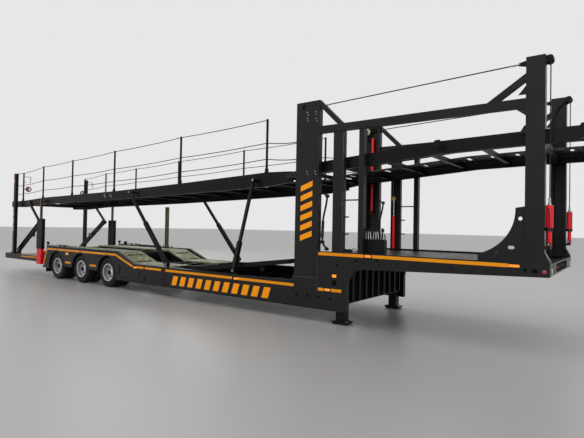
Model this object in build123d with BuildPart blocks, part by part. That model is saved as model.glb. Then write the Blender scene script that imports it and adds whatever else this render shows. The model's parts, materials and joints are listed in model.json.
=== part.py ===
# Car transporter semi-trailer with three twin-tyred axles
# Millimetres, +X forward, +Y to the left, +Z up, origin under the middle at the ground
import os
from math import asin, atan2, cos, degrees, hypot, radians, sin

from build123d import *

os.makedirs("parts", exist_ok=True)

# Width and the clearances that the pieces are seated with
half_width = 1275
lamp_proud = 6
gap = 0.3
pin_play = 0.4
pin_radius = 18
boss_radius = 30

# Heights of the low chassis
skirt_bottom = 233
well_top = 690
axle_deck_top = 970
gooseneck_top = 1259
nose_bottom = 1077
gooseneck_root_z = 990
pillar_foot_rise = 80
fender_foot_z = 295
arch_foot_z = 400

# Lengths along the trailer, forwards and backwards from the mid pillars
pillar_rear_x = 3333
pillar_length = 506
gooseneck_length = 3637
front_overhang = 1494
skirt_past_pillar = 597
nose_radius = 330
well_length = 5033
slope_run = 710
axle_behind_slope = 390
axle_spacing = 1330
fender_behind_axle = 620
fender_sweep = 230
rear_overhang = 2890

# Side frame section
web = 10
flange = 14
flange_depth = 90
lip_proud = 5
lip_height = 26
foot_radius = 200

# Wheels
tyre_radius = 388
tyre_width = 240
twin_spacing = 280
tyre_inset = 35
rim_radius = 228
rim_wall = 10
rim_lip = 12
dish_depth = 130
disc_thick = 14
hub_radius = 110
hand_hole_radius = 26
hand_hole_circle = 165
arch_radius = 450
axle_radius = 60

# Pillars, folded from sheet and open inwards
pillar_top = 3966
pillar_depth = 105
pillar_wall = 10
pillar_lip = 60
sheave_radius = 66
front_pillar_top = 4046
front_cover_bottom = 3300
front_pillar_length = 234
front_pillar_set_back = 72
front_pillar_depth = 130
front_pillar_lip = 36
front_foot_height = 150
gusset_inset = 34
gusset_thick = 14
gusset_length = 610
gusset_height = 752

# Top rails, braces and the posts over the gooseneck
rail_bottom = 3360
rail_height = 130
rail_depth = 80
brace_width = 85
channel_post_x = 281
channel_post_length = 220
slim_post_x = 796
slim_post_length = 95
post_depth = 100
post_inset = 10
post_wall = 8
rung_radius = 12
post_ram_radius = 37
post_ram_bore = 29
post_rod_clear = 5
post_rod_bottom = 1650
post_rod_top = 2301

# Upper decks: side beams are channels open inwards, carrying trays for the wheels
deck_inset = 157
deck_beam_width = 76
deck_web = 8
deck_flange = 10
pivot_back = 288
pivot_z = 2650
pivot_radius = 25
deck_front_margin = 72
cross_width = 60
cross_height = 70
cross_wall = 6
front_deck_rear_gap = 133
front_deck_depth = 200
lane_width = 630
lane_side_gap = 82
lane_thick = 6
lane_lip = 40
lane_drop = 17
front_lane_drop = 25
fixed_lane_width = 680
fixed_lane_side_gap = 49
slot_pitch = 400
slot_length = 60
slot_width = 460

# Struts between the skirts and the rear deck
strut_inset = 13
strut_depth = 72
strut_clear = 6
box_strut_foot = (-385, 760)
box_strut_head = (-1920, 2485)
box_strut_width = 100
box_strut_wall = 8
box_sleeve_length = 1290
box_rod_inside = 500
pin_strut_foot = (1753, 760)
pin_strut_head = (2252, 2602)
pin_sleeve_width = 92
pin_sleeve_length = 620
pin_bar_inside = 300
pin_hole_pitch = 140
pin_hole_radius = 14
strut_pad = 90

# Folding arms at the rear, each a lower and an upper link
arm_foot = (-8410, 730)
arm_knee = (-6880, 1720)
arm_head = (-7600, 2325)
lower_arm_width = 140
lower_arm_wall = 12
upper_arm_width = 70
upper_arm_thick = 46
upper_arm_inset = 105
arm_clear = 6

# Rear posts and lift columns
rear_post_x = -8460
rear_post_length = 130
rear_post_depth = 90
rear_post_top = 3298
column_x = -6575
column_length = 250
column_depth = 95
column_bottom = 850
column_top = 1790
column_wall = 8
column_slot_foot = 1450
ram_foot_z = 370
ram_foot_inset = 20
lift_rod_size = 60
lift_rod_bottom = 1420
lift_rod_top = 2430
lift_rod_pin_z = 2350

# Tilting platform in the well
platform_pivot = (-280, 616)
platform_front = (3100, 1024)
platform_depth = 90
platform_beam = 80
platform_inset = 155
platform_tube_radius = 40
saddle_length = 120

# Rear extension behind the axles
extension_top = 617
extension_height = 172
extension_beam = 80
bumper_height = 120

# Well and axle frames
frame_beam_width = 90
beam_past_pillar = 160
floor_end_gap = 73
rear_floor_gap = 280
saddle_inset = 60
saddle_thick = 30
well_floor = 450
well_frame_height = 120
rear_floor = 650
axle_frame_top = 800
axle_frame_height = 200
axle_member_height = 100
deck_plate = 12

# Gooseneck
floor_z = 1227
coupler_plate_bottom = 1070
coupler_plate_thick = 10
coupler_plate_length = 1200
kingpin_back = 1206
kingpin_radius = 25.4
kingpin_foot_radius = 36.5
kingpin_flange_radius = 90
kingpin_flange_thick = 12
kingpin_length = 84
kingpin_play = 0.5

# Running gear and small pieces
spring_radius = 112
spring_clear = 48
axle_tube_past_tyre = 20
hub_clear = 10
mudflap_bottom = 150
mudflap_top = 560
mudflap_past_tyre = 80
prop_post_back = 710
prop_post_inset = 60
valve_past_pillar = 786
valve_length = 448

# Landing legs
leg_back = 180
leg_inset = 195
leg_outer = 180
leg_wall = 8
leg_inner = 163.4
leg_foot = 340
leg_top = 1100

# Places worked out from the sizes above
pillar_front_x = pillar_rear_x + pillar_length
nose_x = pillar_front_x + gooseneck_length
front_end = nose_x + front_overhang
skirt_front_x = pillar_front_x + skirt_past_pillar
slope_foot_x = pillar_rear_x - well_length
slope_top_x = slope_foot_x - slope_run
axle_xs = [slope_top_x - axle_behind_slope - i * axle_spacing for i in range(3)]
fender_x = axle_xs[2] - fender_behind_axle
rear_end = fender_x - rear_overhang
seam_x = pillar_front_x + gap
pillar_foot_top = well_top + pillar_foot_rise
front_pillar_front_x = nose_x - front_pillar_set_back
front_pillar_rear_x = front_pillar_front_x - front_pillar_length
rail_top = rail_bottom + rail_height
kingpin_x = nose_x - kingpin_back
leg_x = skirt_front_x - leg_back
leg_y = half_width - leg_inset
extension_bottom = extension_top - extension_height
extension_front_x = column_x - column_length / 2 + ram_foot_inset
extension_floor = extension_bottom + 90
ramp_foot_x = fender_x - 900
axle_member_top = axle_frame_top + axle_member_height

tyre_outer_y = half_width - tyre_inset
tyre_inner_y = tyre_outer_y - twin_spacing - tyre_width
frame_beam_y = tyre_inner_y - spring_clear - spring_radius
plate_outer_y = half_width - lamp_proud
flange_inner_y = plate_outer_y - flange_depth
web_inner_y = plate_outer_y - web - gap
deck_outer_y = half_width - deck_inset
deck_inner_y = deck_outer_y - deck_beam_width
deck_web_y = deck_outer_y - deck_web
lane_outer = deck_inner_y - lane_side_gap
lane_inner = lane_outer - lane_width
fixed_lane_outer = flange_inner_y - fixed_lane_side_gap
fixed_lane_inner = fixed_lane_outer - fixed_lane_width
strut_outer = half_width - strut_inset
strut_inner = strut_outer - strut_depth
upper_arm_outer = half_width - upper_arm_inset
upper_arm_inner = upper_arm_outer - upper_arm_thick
lower_arm_outer = upper_arm_inner - arm_clear
lower_arm_inner = lower_arm_outer - deck_beam_width - 2
column_inner = half_width - column_depth
platform_outer = half_width - platform_inset

pivot = (pillar_rear_x - pivot_back, pivot_z)
deck_table = [
    # x, top height, beam depth
    (rear_end + 30, 2376, 190),
    (rear_end + 970, 2388, 215),
    (-6620, 2466, 215),
    (-4850, 2499, 215),
    (-2755, 2545, 225),
    (-55, 2643, 250),
    (pivot[0] - 517, 2757, 285),
    (pivot[0] + deck_front_margin, 2742, 200),
]
front_deck_table = [
    # x, top height
    (pivot[0] + deck_front_margin + front_deck_rear_gap, 2835),
    (5964, 3047),
    (7134, 3072),
    (7783, 3078),
    (7800, 3110),
    (front_end, 3128),
]
fixed_lane_table = [
    # x, height of the lane's top
    (ramp_foot_x, extension_floor + lane_lip + gap),
    (fender_x + 20, axle_member_top + lane_lip + gap),
    (slope_top_x - 60, axle_member_top + lane_lip + gap),
    (slope_foot_x - 60, rear_floor + lane_lip + gap),
    (platform_pivot[0] - 110, rear_floor + lane_lip + gap),
]
extension_lane_table = [
    # x, height of the lane's top
    (rear_end + 110, extension_floor + lane_lip + gap),
    (ramp_foot_x - 10, extension_floor + lane_lip + gap),
]


def link(start, end, width):
    """A bar with round ends in the sketch, between two pins."""
    run = (end[0] - start[0], end[1] - start[1])
    middle = ((start[0] + end[0]) / 2, (start[1] + end[1]) / 2)
    with Locations(middle):
        SlotCenterToCenter(hypot(*run), width, rotation=degrees(atan2(run[1], run[0])))


def bar(start, end, width):
    """A bar with square ends in the sketch, between two points."""
    run = (end[0] - start[0], end[1] - start[1])
    middle = ((start[0] + end[0]) / 2, (start[1] + end[1]) / 2)
    with Locations(middle):
        Rectangle(hypot(*run), width, rotation=degrees(atan2(run[1], run[0])))


def along(start, end, distance):
    """The point at a distance from the start, towards the end."""
    share = distance / hypot(end[0] - start[0], end[1] - start[1])
    return (start[0] + share * (end[0] - start[0]), start[1] + share * (end[1] - start[1]))


def block(x, y, z):
    """A box in the part, from its ranges along the three axes."""
    with Locations(((x[0] + x[1]) / 2, (y[0] + y[1]) / 2, (z[0] + z[1]) / 2)):
        Box(x[1] - x[0], y[1] - y[0], z[1] - z[0])


def hollow_block(x, y, z, wall):
    """An upright rectangular tube in the part, from its ranges and its wall."""
    block(x, y, z)
    with Locations(((x[0] + x[1]) / 2, (y[0] + y[1]) / 2, (z[0] + z[1]) / 2)):
        Box(x[1] - x[0] - 2 * wall, y[1] - y[0] - 2 * wall, z[1] - z[0], mode=Mode.SUBTRACT)


def height_at(table, x):
    """Height of a table's top line at a place along X."""
    for row, following in zip(table, table[1:]):
        if row[0] <= x <= following[0]:
            share = (x - row[0]) / (following[0] - row[0])
            return row[1] + share * (following[1] - row[1])
    return table[-1][1]


def edge_heights(table, x, half):
    """Heights of a table's top line under both edges and the middle of a piece."""
    return [height_at(table, place) for place in (x - half, x, x + half)]


def strip(table, drop, depth):
    """Corners of a strip of even depth that follows a table's top line."""
    tops = [(row[0], row[1] - drop) for row in table]
    bottoms = [(row[0], row[1] - drop - depth) for row in reversed(table)]
    return [*tops, *bottoms]


def spread(first, last, count):
    """Evenly spaced places from the first to the last."""
    return [first + i * (last - first) / (count - 1) for i in range(count)]


def channel(x, z, width, height, wall):
    """A channel section in the sketch, open towards the rear."""
    with Locations((x, z)):
        Rectangle(width, height)
    with Locations((x - wall, z)):
        Rectangle(width, height - 2 * wall, mode=Mode.SUBTRACT)


def save(piece, name):
    """Label a finished piece and write its STEP file."""
    piece.part.label = name
    export_step(piece.part, f"parts/{name}.step")


# Side frames: one plate from the fender to the nose, with a rim folded inwards
foot_centre = (pillar_rear_x - foot_radius, well_top + foot_radius)
foot_angle = degrees(asin((foot_radius - pillar_foot_rise) / foot_radius))
foot_x = foot_centre[0] + foot_radius * cos(radians(foot_angle))
with BuildSketch() as side_profile:
    with BuildLine():
        Polyline((foot_centre[0], well_top), (slope_foot_x, well_top), (slope_top_x, axle_deck_top))
        Polyline((slope_top_x, axle_deck_top), (fender_x, axle_deck_top), (fender_x, axle_deck_top - 90))
        ThreePointArc(
            (fender_x, axle_deck_top - 90),
            (fender_x - 0.64 * fender_sweep, (axle_deck_top + fender_foot_z) / 2 - 32),
            (fender_x - fender_sweep, fender_foot_z),
        )
        Polyline(
            (fender_x - fender_sweep, fender_foot_z),
            (axle_xs[2] - 200, fender_foot_z),
            (axle_xs[2] - 200, arch_foot_z),
            (axle_xs[0], arch_foot_z),
            (axle_xs[0], skirt_bottom),
            (skirt_front_x, skirt_bottom),
            (skirt_front_x, gooseneck_root_z - nose_radius),
        )
        CenterArc((skirt_front_x + nose_radius, gooseneck_root_z - nose_radius), nose_radius, 180, -90)
        Polyline(
            (skirt_front_x + nose_radius, gooseneck_root_z),
            (nose_x, nose_bottom),
            (nose_x, gooseneck_top),
            (seam_x, gooseneck_top),
            (seam_x, pillar_foot_top),
            (foot_x, pillar_foot_top),
        )
        CenterArc(foot_centre, foot_radius, -foot_angle, foot_angle - 90)
    make_face()
    with Locations(*[(x, tyre_radius) for x in axle_xs]):
        Circle(arch_radius, mode=Mode.SUBTRACT)

# Round holes through the plate: place along X, height, radius
plate_holes = [
    (nose_x - 178, 1151, 30),
    (nose_x - 297, 1159, 22),
    (pillar_rear_x + 55, 452, 14),
    (pillar_rear_x + 299, 448, 14),
    (pillar_rear_x + 543, 444, 14),
    (pillar_rear_x + 787, 440, 14),
]
with BuildPart() as side_frame_right:
    with BuildSketch(Plane.XZ.offset(plate_outer_y - web)):
        add(side_profile.sketch)
        for x, z, radius in plate_holes:
            with Locations((x, z)):
                Circle(radius, mode=Mode.SUBTRACT)
    extrude(amount=web)
    with BuildSketch(Plane.XZ.offset(flange_inner_y)):
        add(side_profile.sketch)
        offset(amount=-flange, mode=Mode.SUBTRACT)
    extrude(amount=flange_depth)
    # Raised lips round the wheel arches and along the foot of the skirt
    with BuildSketch(Plane.XZ.offset(plate_outer_y)):
        with Locations(*[(x, tyre_radius) for x in axle_xs]):
            Circle(arch_radius + lip_height)
            Circle(arch_radius, mode=Mode.SUBTRACT)
        with Locations((axle_xs[1], arch_foot_z - arch_radius)):
            Rectangle(4 * axle_spacing, 2 * arch_radius, mode=Mode.SUBTRACT)
    extrude(amount=lip_proud)
    block(
        (axle_xs[0] + arch_radius, skirt_front_x),
        (-plate_outer_y - lip_proud, -plate_outer_y),
        (skirt_bottom, skirt_bottom + lip_height),
    )
    # Ears with the pins that the deck struts turn on, and the bolted plate of the rear pair
    for foot in (box_strut_foot, pin_strut_foot):
        with BuildSketch(Plane.XZ.offset(flange_inner_y)):
            link((foot[0], well_top - 60), foot, 110)
        extrude(amount=strut_inner - flange_inner_y - 4)
        with BuildSketch(Plane.XZ.offset(flange_inner_y)):
            with Locations(foot):
                Circle(pin_radius)
        extrude(amount=strut_outer - flange_inner_y)
    block(
        (box_strut_foot[0] - 145, box_strut_foot[0] + 5),
        (-plate_outer_y - lip_proud, -plate_outer_y),
        (skirt_bottom + lip_height + 11, well_top - lip_height),
    )
save(side_frame_right, "side_frame_right")

with BuildPart() as side_frame_left:
    mirror(side_frame_right.part, about=Plane.XZ)
save(side_frame_left, "side_frame_left")

# Well frame: channel cross members, two long beams and the platform's bearings
well_mid = well_floor - well_frame_height / 2
floor_xs = spread(platform_pivot[0], pillar_rear_x - floor_end_gap, 7)
with BuildPart() as well_frame:
    with BuildSketch(Plane.XZ.offset(-web_inner_y)):
        for x in floor_xs:
            channel(x, well_mid, cross_width, well_frame_height, cross_wall)
    extrude(amount=2 * web_inner_y)
    for side in (-1, 1):
        middle = side * frame_beam_y
        for z in (well_floor - cross_wall, well_floor - well_frame_height):
            block(
                (slope_foot_x, pillar_front_x + beam_past_pillar),
                (middle - frame_beam_width / 2, middle + frame_beam_width / 2),
                (z, z + cross_wall),
            )
        block(
            (slope_foot_x, pillar_front_x + beam_past_pillar),
            (middle - cross_wall, middle + cross_wall),
            (well_floor - well_frame_height, well_floor),
        )
        # Bearing bracket under the platform's rear tube
        ys = sorted((side * (lane_inner - saddle_inset), side * (lane_inner - saddle_inset + saddle_thick)))
        block(
            (platform_pivot[0] - saddle_length / 2, platform_pivot[0] + saddle_length / 2),
            ys,
            (well_floor - well_frame_height, platform_pivot[1] - platform_tube_radius / 2),
        )
    with BuildSketch(Plane.XZ.offset(-lane_inner)):
        with Locations(platform_pivot):
            Circle(platform_tube_radius + pin_play)
    extrude(amount=2 * lane_inner, mode=Mode.SUBTRACT)
    block(
        (platform_pivot[0] - saddle_length / 2, platform_pivot[0] + saddle_length / 2),
        (saddle_inset - saddle_thick - lane_inner, lane_inner - saddle_inset + saddle_thick),
        (well_floor - well_frame_height, well_floor - well_frame_height + cross_wall),
    )
save(well_frame, "well_frame")

# Raised cross members behind the platform, on posts that stand on the long beams
rear_floor_xs = spread(slope_foot_x + cross_width, platform_pivot[0] - rear_floor_gap, 3)
with BuildPart() as rear_floor_frame:
    with BuildSketch(Plane.XZ.offset(-web_inner_y)):
        for x in rear_floor_xs:
            channel(x, rear_floor - well_frame_height / 2, cross_width, well_frame_height, cross_wall)
    extrude(amount=2 * web_inner_y)
    for x in rear_floor_xs:
        for middle in (-frame_beam_y, frame_beam_y):
            block(
                (x - cross_width / 2, x + cross_width / 2),
                (middle - frame_beam_width / 2, middle + frame_beam_width / 2),
                (well_floor + gap, rear_floor - well_frame_height + cross_wall),
            )
save(rear_floor_frame, "rear_floor_frame")

# Axle deck: long beams between the wheels, cross members and cover plates over them
bay_xs = [fender_x + 60, axle_xs[1] - axle_spacing / 2, axle_xs[1] + axle_spacing / 2]
with BuildPart() as axle_deck:
    for side in (-1, 1):
        middle = side * frame_beam_y
        for z in (axle_frame_top - deck_plate, axle_frame_top - axle_frame_height):
            block(
                (fender_x - 120, slope_top_x - 140),
                (middle - frame_beam_width / 2, middle + frame_beam_width / 2),
                (z, z + deck_plate),
            )
        block(
            (fender_x - 120, slope_top_x - 140),
            (middle - deck_plate / 2, middle + deck_plate / 2),
            (axle_frame_top - axle_frame_height, axle_frame_top),
        )
        ys = sorted((side * (fixed_lane_outer + 20), side * web_inner_y))
        block((fender_x + 20, slope_top_x - 140), ys, (axle_member_top, axle_member_top + 12))
    for half_length, places in ((web_inner_y, bay_xs), (flange_inner_y - gap, [slope_top_x - 250])):
        with BuildSketch(Plane.XZ.offset(-half_length)):
            for x in places:
                middle = axle_frame_top + axle_member_height / 2
                channel(x, middle, cross_width, axle_member_height, cross_wall)
        extrude(amount=2 * half_length)
save(axle_deck, "axle_deck")

# Gooseneck deck: floor, cross members, long beams, coupler plate and ribbed bulkhead
long_beam_bottom = coupler_plate_bottom + coupler_plate_thick
bulkhead_x = skirt_front_x - 66
with BuildPart() as gooseneck_deck:
    block(
        (pillar_front_x + 20, nose_x - 110),
        (-web_inner_y, web_inner_y),
        (floor_z - deck_plate, floor_z),
    )
    with BuildSketch(Plane.XZ.offset(-web_inner_y)):
        for x in spread(skirt_front_x + 44, nose_x - 160, 7):
            channel(x, floor_z - deck_plate - 55, cross_width, 110, cross_wall)
    extrude(amount=2 * web_inner_y)
    for side in (-1, 1):
        middle = side * (frame_beam_y - 40)
        block(
            (bulkhead_x, nose_x - 130),
            (middle - 40, middle + 40),
            (long_beam_bottom, floor_z - deck_plate),
        )
    block(
        (kingpin_x - coupler_plate_length / 2, kingpin_x + coupler_plate_length / 2),
        (40 - frame_beam_y, frame_beam_y - 40),
        (coupler_plate_bottom, long_beam_bottom),
    )
    with BuildSketch(Plane.XY.offset(coupler_plate_bottom)):
        with Locations((kingpin_x, 0)):
            Circle(kingpin_foot_radius + kingpin_play)
    extrude(amount=coupler_plate_thick, mode=Mode.SUBTRACT)
    block((bulkhead_x - 8, bulkhead_x), (-web_inner_y, web_inner_y), (360, floor_z - deck_plate))
    for y in spread(-1000, 1000, 9):
        block((bulkhead_x, bulkhead_x + 50), (y - 15, y + 15), (380, 1040))
    # Brackets that the landing legs are bolted to
    for side in (-1, 1):
        ys = sorted((side * (leg_y - leg_outer / 2 + 20), side * (leg_y + leg_outer / 2 - 20)))
        block((leg_x + leg_outer / 2 + gap, bulkhead_x), ys, (500, 1000))
save(gooseneck_deck, "gooseneck_deck")

# Kingpin: a two-inch neck between its shoulder and its foot, bolted on above the plate
with BuildPart() as kingpin:
    with BuildSketch(Plane.XZ):
        with BuildLine():
            seat = coupler_plate_bottom + coupler_plate_thick
            Polyline(
                (0, seat + kingpin_flange_thick),
                (kingpin_flange_radius, seat + kingpin_flange_thick),
                (kingpin_flange_radius, seat),
                (kingpin_foot_radius, seat),
                (kingpin_foot_radius, coupler_plate_bottom - 32),
                (kingpin_radius, coupler_plate_bottom - 32),
                (kingpin_radius, coupler_plate_bottom - 62),
                (kingpin_foot_radius, coupler_plate_bottom - 62),
                (kingpin_foot_radius, coupler_plate_bottom - kingpin_length),
                (0, coupler_plate_bottom - kingpin_length),
                close=True,
            )
        make_face()
    revolve(axis=Axis.Z)
kingpin.part = kingpin.part.moved(Location((kingpin_x, 0, 0)))
save(kingpin, "kingpin")

# Front cross beam with its recess for the air and electric couplings
recess_half = 620
recess_depth = 60
beam_side = flange_inner_y - gap
with BuildPart() as front_cross_beam:
    block((nose_x - 90, nose_x), (-beam_side, beam_side), (nose_bottom + 10, gooseneck_top - 12))
    with Locations((nose_x - recess_depth / 2, 0, (nose_bottom + gooseneck_top) / 2)):
        Box(recess_depth, 2 * recess_half, 120, mode=Mode.SUBTRACT)
    with BuildSketch(Plane.YZ.offset(nose_x - recess_depth)):
        with Locations(*[(y, (nose_bottom + gooseneck_top) / 2) for y in spread(-420, 420, 5)]):
            Circle(34)
            Circle(20, mode=Mode.SUBTRACT)
    extrude(amount=recess_depth - 10)
    fillet(front_cross_beam.edges().filter_by(Axis.Y).group_by(Axis.X)[-1].group_by(Axis.Z)[-1], radius=8)
save(front_cross_beam, "front_cross_beam")

# Mid pillars: wide channels with a curved foot, return lips, a sheave and the deck's pivot arm
with BuildSketch() as mid_profile:
    with BuildLine():
        CenterArc(foot_centre, foot_radius, -foot_angle, foot_angle)
        Polyline(
            (pillar_rear_x, foot_centre[1]),
            (pillar_rear_x, pillar_top),
            (pillar_front_x, pillar_top),
            (pillar_front_x, pillar_foot_top),
            (foot_x, pillar_foot_top),
        )
    make_face()
sheave = (pillar_rear_x + 171, pillar_top - 100)
shelf_z = 1992
mid_ram_x = pillar_rear_x + 307
with BuildPart() as mid_pillar_right:
    with BuildSketch(Plane.XZ.offset(half_width - pillar_wall)):
        add(mid_profile.sketch)
        with Locations(sheave):
            Circle(sheave_radius - 20, mode=Mode.SUBTRACT)
    extrude(amount=pillar_wall)
    with BuildSketch(Plane.XZ.offset(half_width - pillar_depth)):
        add(mid_profile.sketch)
        offset(amount=-pillar_wall, mode=Mode.SUBTRACT)
    extrude(amount=pillar_depth)
    with BuildSketch(Plane.XZ.offset(half_width - pillar_depth)):
        add(mid_profile.sketch)
        offset(amount=-pillar_lip, mode=Mode.SUBTRACT)
    extrude(amount=pillar_wall)
    # Sheave on its cross bar, and the shelf that the ram stands on
    block(
        (pillar_rear_x + 5, pillar_front_x - 5),
        (-half_width + 60, -half_width + 80),
        (sheave[1] - 12, sheave[1] + 12),
    )
    with BuildSketch(Plane.XZ.offset(half_width - 60)):
        with Locations(sheave):
            Circle(sheave_radius)
    extrude(amount=34)
    block(
        (pillar_rear_x + 5, pillar_front_x - 5),
        (-half_width + pillar_wall, -half_width + pillar_depth),
        (shelf_z, shelf_z + 12 - gap),
    )
    # Arm that reaches back to the rear deck's pivot pin
    with BuildSketch(Plane.XZ.offset(deck_outer_y + arm_clear)):
        link(pivot, (pillar_rear_x + 100, pivot_z + 60), 110)
        bar((pillar_rear_x + 60, pivot_z + 60), (pillar_front_x - 20, pivot_z + 92), 130)
    extrude(amount=30)
    with BuildSketch(Plane.XZ.offset(deck_outer_y + arm_clear + 30)):
        bar((pillar_rear_x + 10, pivot_z + 62), (pillar_front_x - 20, pivot_z + 92), 100)
    extrude(amount=half_width - pillar_depth - deck_outer_y - arm_clear - 30 + pillar_wall)
    with BuildSketch(Plane.XZ.offset(deck_outer_y - 50)):
        with Locations(pivot):
            Circle(pivot_radius)
    extrude(amount=50 + arm_clear)
save(mid_pillar_right, "mid_pillar_right")

with BuildPart() as mid_pillar_left:
    mirror(mid_pillar_right.part, about=Plane.XZ)
save(mid_pillar_left, "mid_pillar_left")

# Front pillars: channels with a flared foot and a curved, pierced gusset
with BuildSketch() as front_profile:
    Polygon(
        (front_pillar_rear_x, gooseneck_top),
        (front_pillar_rear_x, front_pillar_top),
        (front_pillar_front_x, front_pillar_top),
        (front_pillar_front_x + 6, gooseneck_top + front_foot_height),
        (nose_x, gooseneck_top + 20),
        (nose_x, gooseneck_top),
        align=None,
    )
gusset_back = front_pillar_rear_x - 122
front_ram_x = front_pillar_front_x + 53
front_ram_y = half_width - 75
front_ram_foot = 1488
with BuildPart() as front_pillar_right:
    with BuildSketch(Plane.XZ.offset(half_width - post_wall)):
        add(front_profile.sketch)
    extrude(amount=post_wall)
    with BuildSketch(Plane.XZ.offset(half_width - front_pillar_depth)):
        add(front_profile.sketch)
        offset(amount=-post_wall, mode=Mode.SUBTRACT)
    extrude(amount=front_pillar_depth)
    with BuildSketch(Plane.XZ.offset(half_width - front_pillar_depth)):
        add(front_profile.sketch)
        offset(amount=-front_pillar_lip, mode=Mode.SUBTRACT)
    extrude(amount=post_wall)
    with BuildSketch(Plane.XZ.offset(half_width - gusset_inset - gusset_thick)):
        with BuildLine():
            Polyline(
                (gusset_back, gooseneck_top + gusset_height - 8),
                (front_pillar_rear_x + 4, gooseneck_top + gusset_height + 10),
                (front_pillar_rear_x + 4, gooseneck_top),
                (front_pillar_rear_x - gusset_length, gooseneck_top),
                (front_pillar_rear_x - gusset_length, gooseneck_top + 80),
                (front_pillar_rear_x - gusset_length + 40, gooseneck_top + 107),
            )
            ThreePointArc(
                (front_pillar_rear_x - gusset_length + 40, gooseneck_top + 107),
                (gusset_back - 108, gooseneck_top + 360),
                (gusset_back, gooseneck_top + gusset_height - 8),
            )
        make_face()
        with Locations((front_pillar_rear_x - 59, gooseneck_top + 595)):
            Circle(27, mode=Mode.SUBTRACT)
        with Locations((front_pillar_rear_x - 170, gooseneck_top + 197)):
            SlotOverall(84, 46, mode=Mode.SUBTRACT)
        with Locations((front_pillar_rear_x - 362, gooseneck_top + 99)):
            Circle(18, mode=Mode.SUBTRACT)
    extrude(amount=gusset_thick)
    # Plate that closes the channel above the deck's highest place
    block(
        (front_pillar_rear_x + 2, front_pillar_front_x - 2),
        (-half_width + front_pillar_depth - post_wall, -half_width + front_pillar_depth),
        (front_cover_bottom, front_pillar_top - 2),
    )
    # Ear in front for the foot of the lift ram
    block(
        (front_pillar_front_x - 4, front_ram_x + 20),
        (-front_ram_y - 30, -front_ram_y + 30),
        (front_ram_foot - 40, front_ram_foot - gap),
    )
save(front_pillar_right, "front_pillar_right")

with BuildPart() as front_pillar_left:
    mirror(front_pillar_right.part, about=Plane.XZ)
save(front_pillar_left, "front_pillar_left")

# Top rails with braces and gussets, a channel post with rungs and a slim post
channel_post = (pillar_front_x + channel_post_x, pillar_front_x + channel_post_x + channel_post_length)
slim_post = (pillar_front_x + slim_post_x, pillar_front_x + slim_post_x + slim_post_length)
post_outer_y = half_width - post_inset
post_inner_y = post_outer_y - post_depth
rail_rear_x = pillar_front_x + gap
rail_front_x = front_pillar_rear_x - gap
with BuildPart() as top_rail_right:
    rail_y = half_width - rail_depth
    block((rail_rear_x, rail_front_x), (-half_width, -rail_y), (rail_bottom, rail_top))
    with BuildSketch(Plane.XZ.offset(rail_y)):
        bar((rail_rear_x - 40, pillar_top - 22), (rail_rear_x + 490, rail_top - 60), brace_width)
        bar((rail_front_x + 40, pillar_top - 160), (rail_front_x - 500, rail_top - 50), brace_width)
        Polygon(
            (rail_front_x, rail_bottom - 100),
            (rail_front_x, rail_bottom),
            (rail_front_x - 130, rail_bottom),
            align=None,
        )
    extrude(amount=rail_depth - 5)
    split(bisect_by=Plane.YZ.offset(rail_rear_x), keep=Keep.TOP)
    split(bisect_by=Plane.YZ.offset(rail_front_x), keep=Keep.BOTTOM)
    with BuildSketch(Plane.XY.offset(gooseneck_top)) as post_section:
        with Locations(((channel_post[0] + channel_post[1]) / 2, -(post_outer_y + post_inner_y) / 2)):
            Rectangle(channel_post_length, post_depth)
        fillet(post_section.vertices().group_by(Axis.Y)[0], radius=28)
        with Locations(
            ((channel_post[0] + channel_post[1]) / 2, -(post_outer_y + post_inner_y) / 2 + post_wall)
        ):
            Rectangle(channel_post_length - 2 * post_wall, post_depth, mode=Mode.SUBTRACT)
    extrude(amount=rail_bottom - gooseneck_top)
    hollow_block(slim_post, (-post_outer_y, -post_inner_y), (gooseneck_top, rail_bottom), post_wall)
    # Rungs: height, length; the highest reaches the slim post
    for z, length in ((1575, 90), (1870, 90), (2160, slim_post[0] - channel_post[1])):
        with BuildSketch(Plane.YZ.offset(channel_post[1])):
            with Locations((-(post_outer_y + post_inner_y) / 2, z)):
                Circle(rung_radius)
        extrude(amount=length)
save(top_rail_right, "top_rail_right")

with BuildPart() as top_rail_left:
    mirror(top_rail_right.part, about=Plane.XZ)
save(top_rail_left, "top_rail_left")

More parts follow.
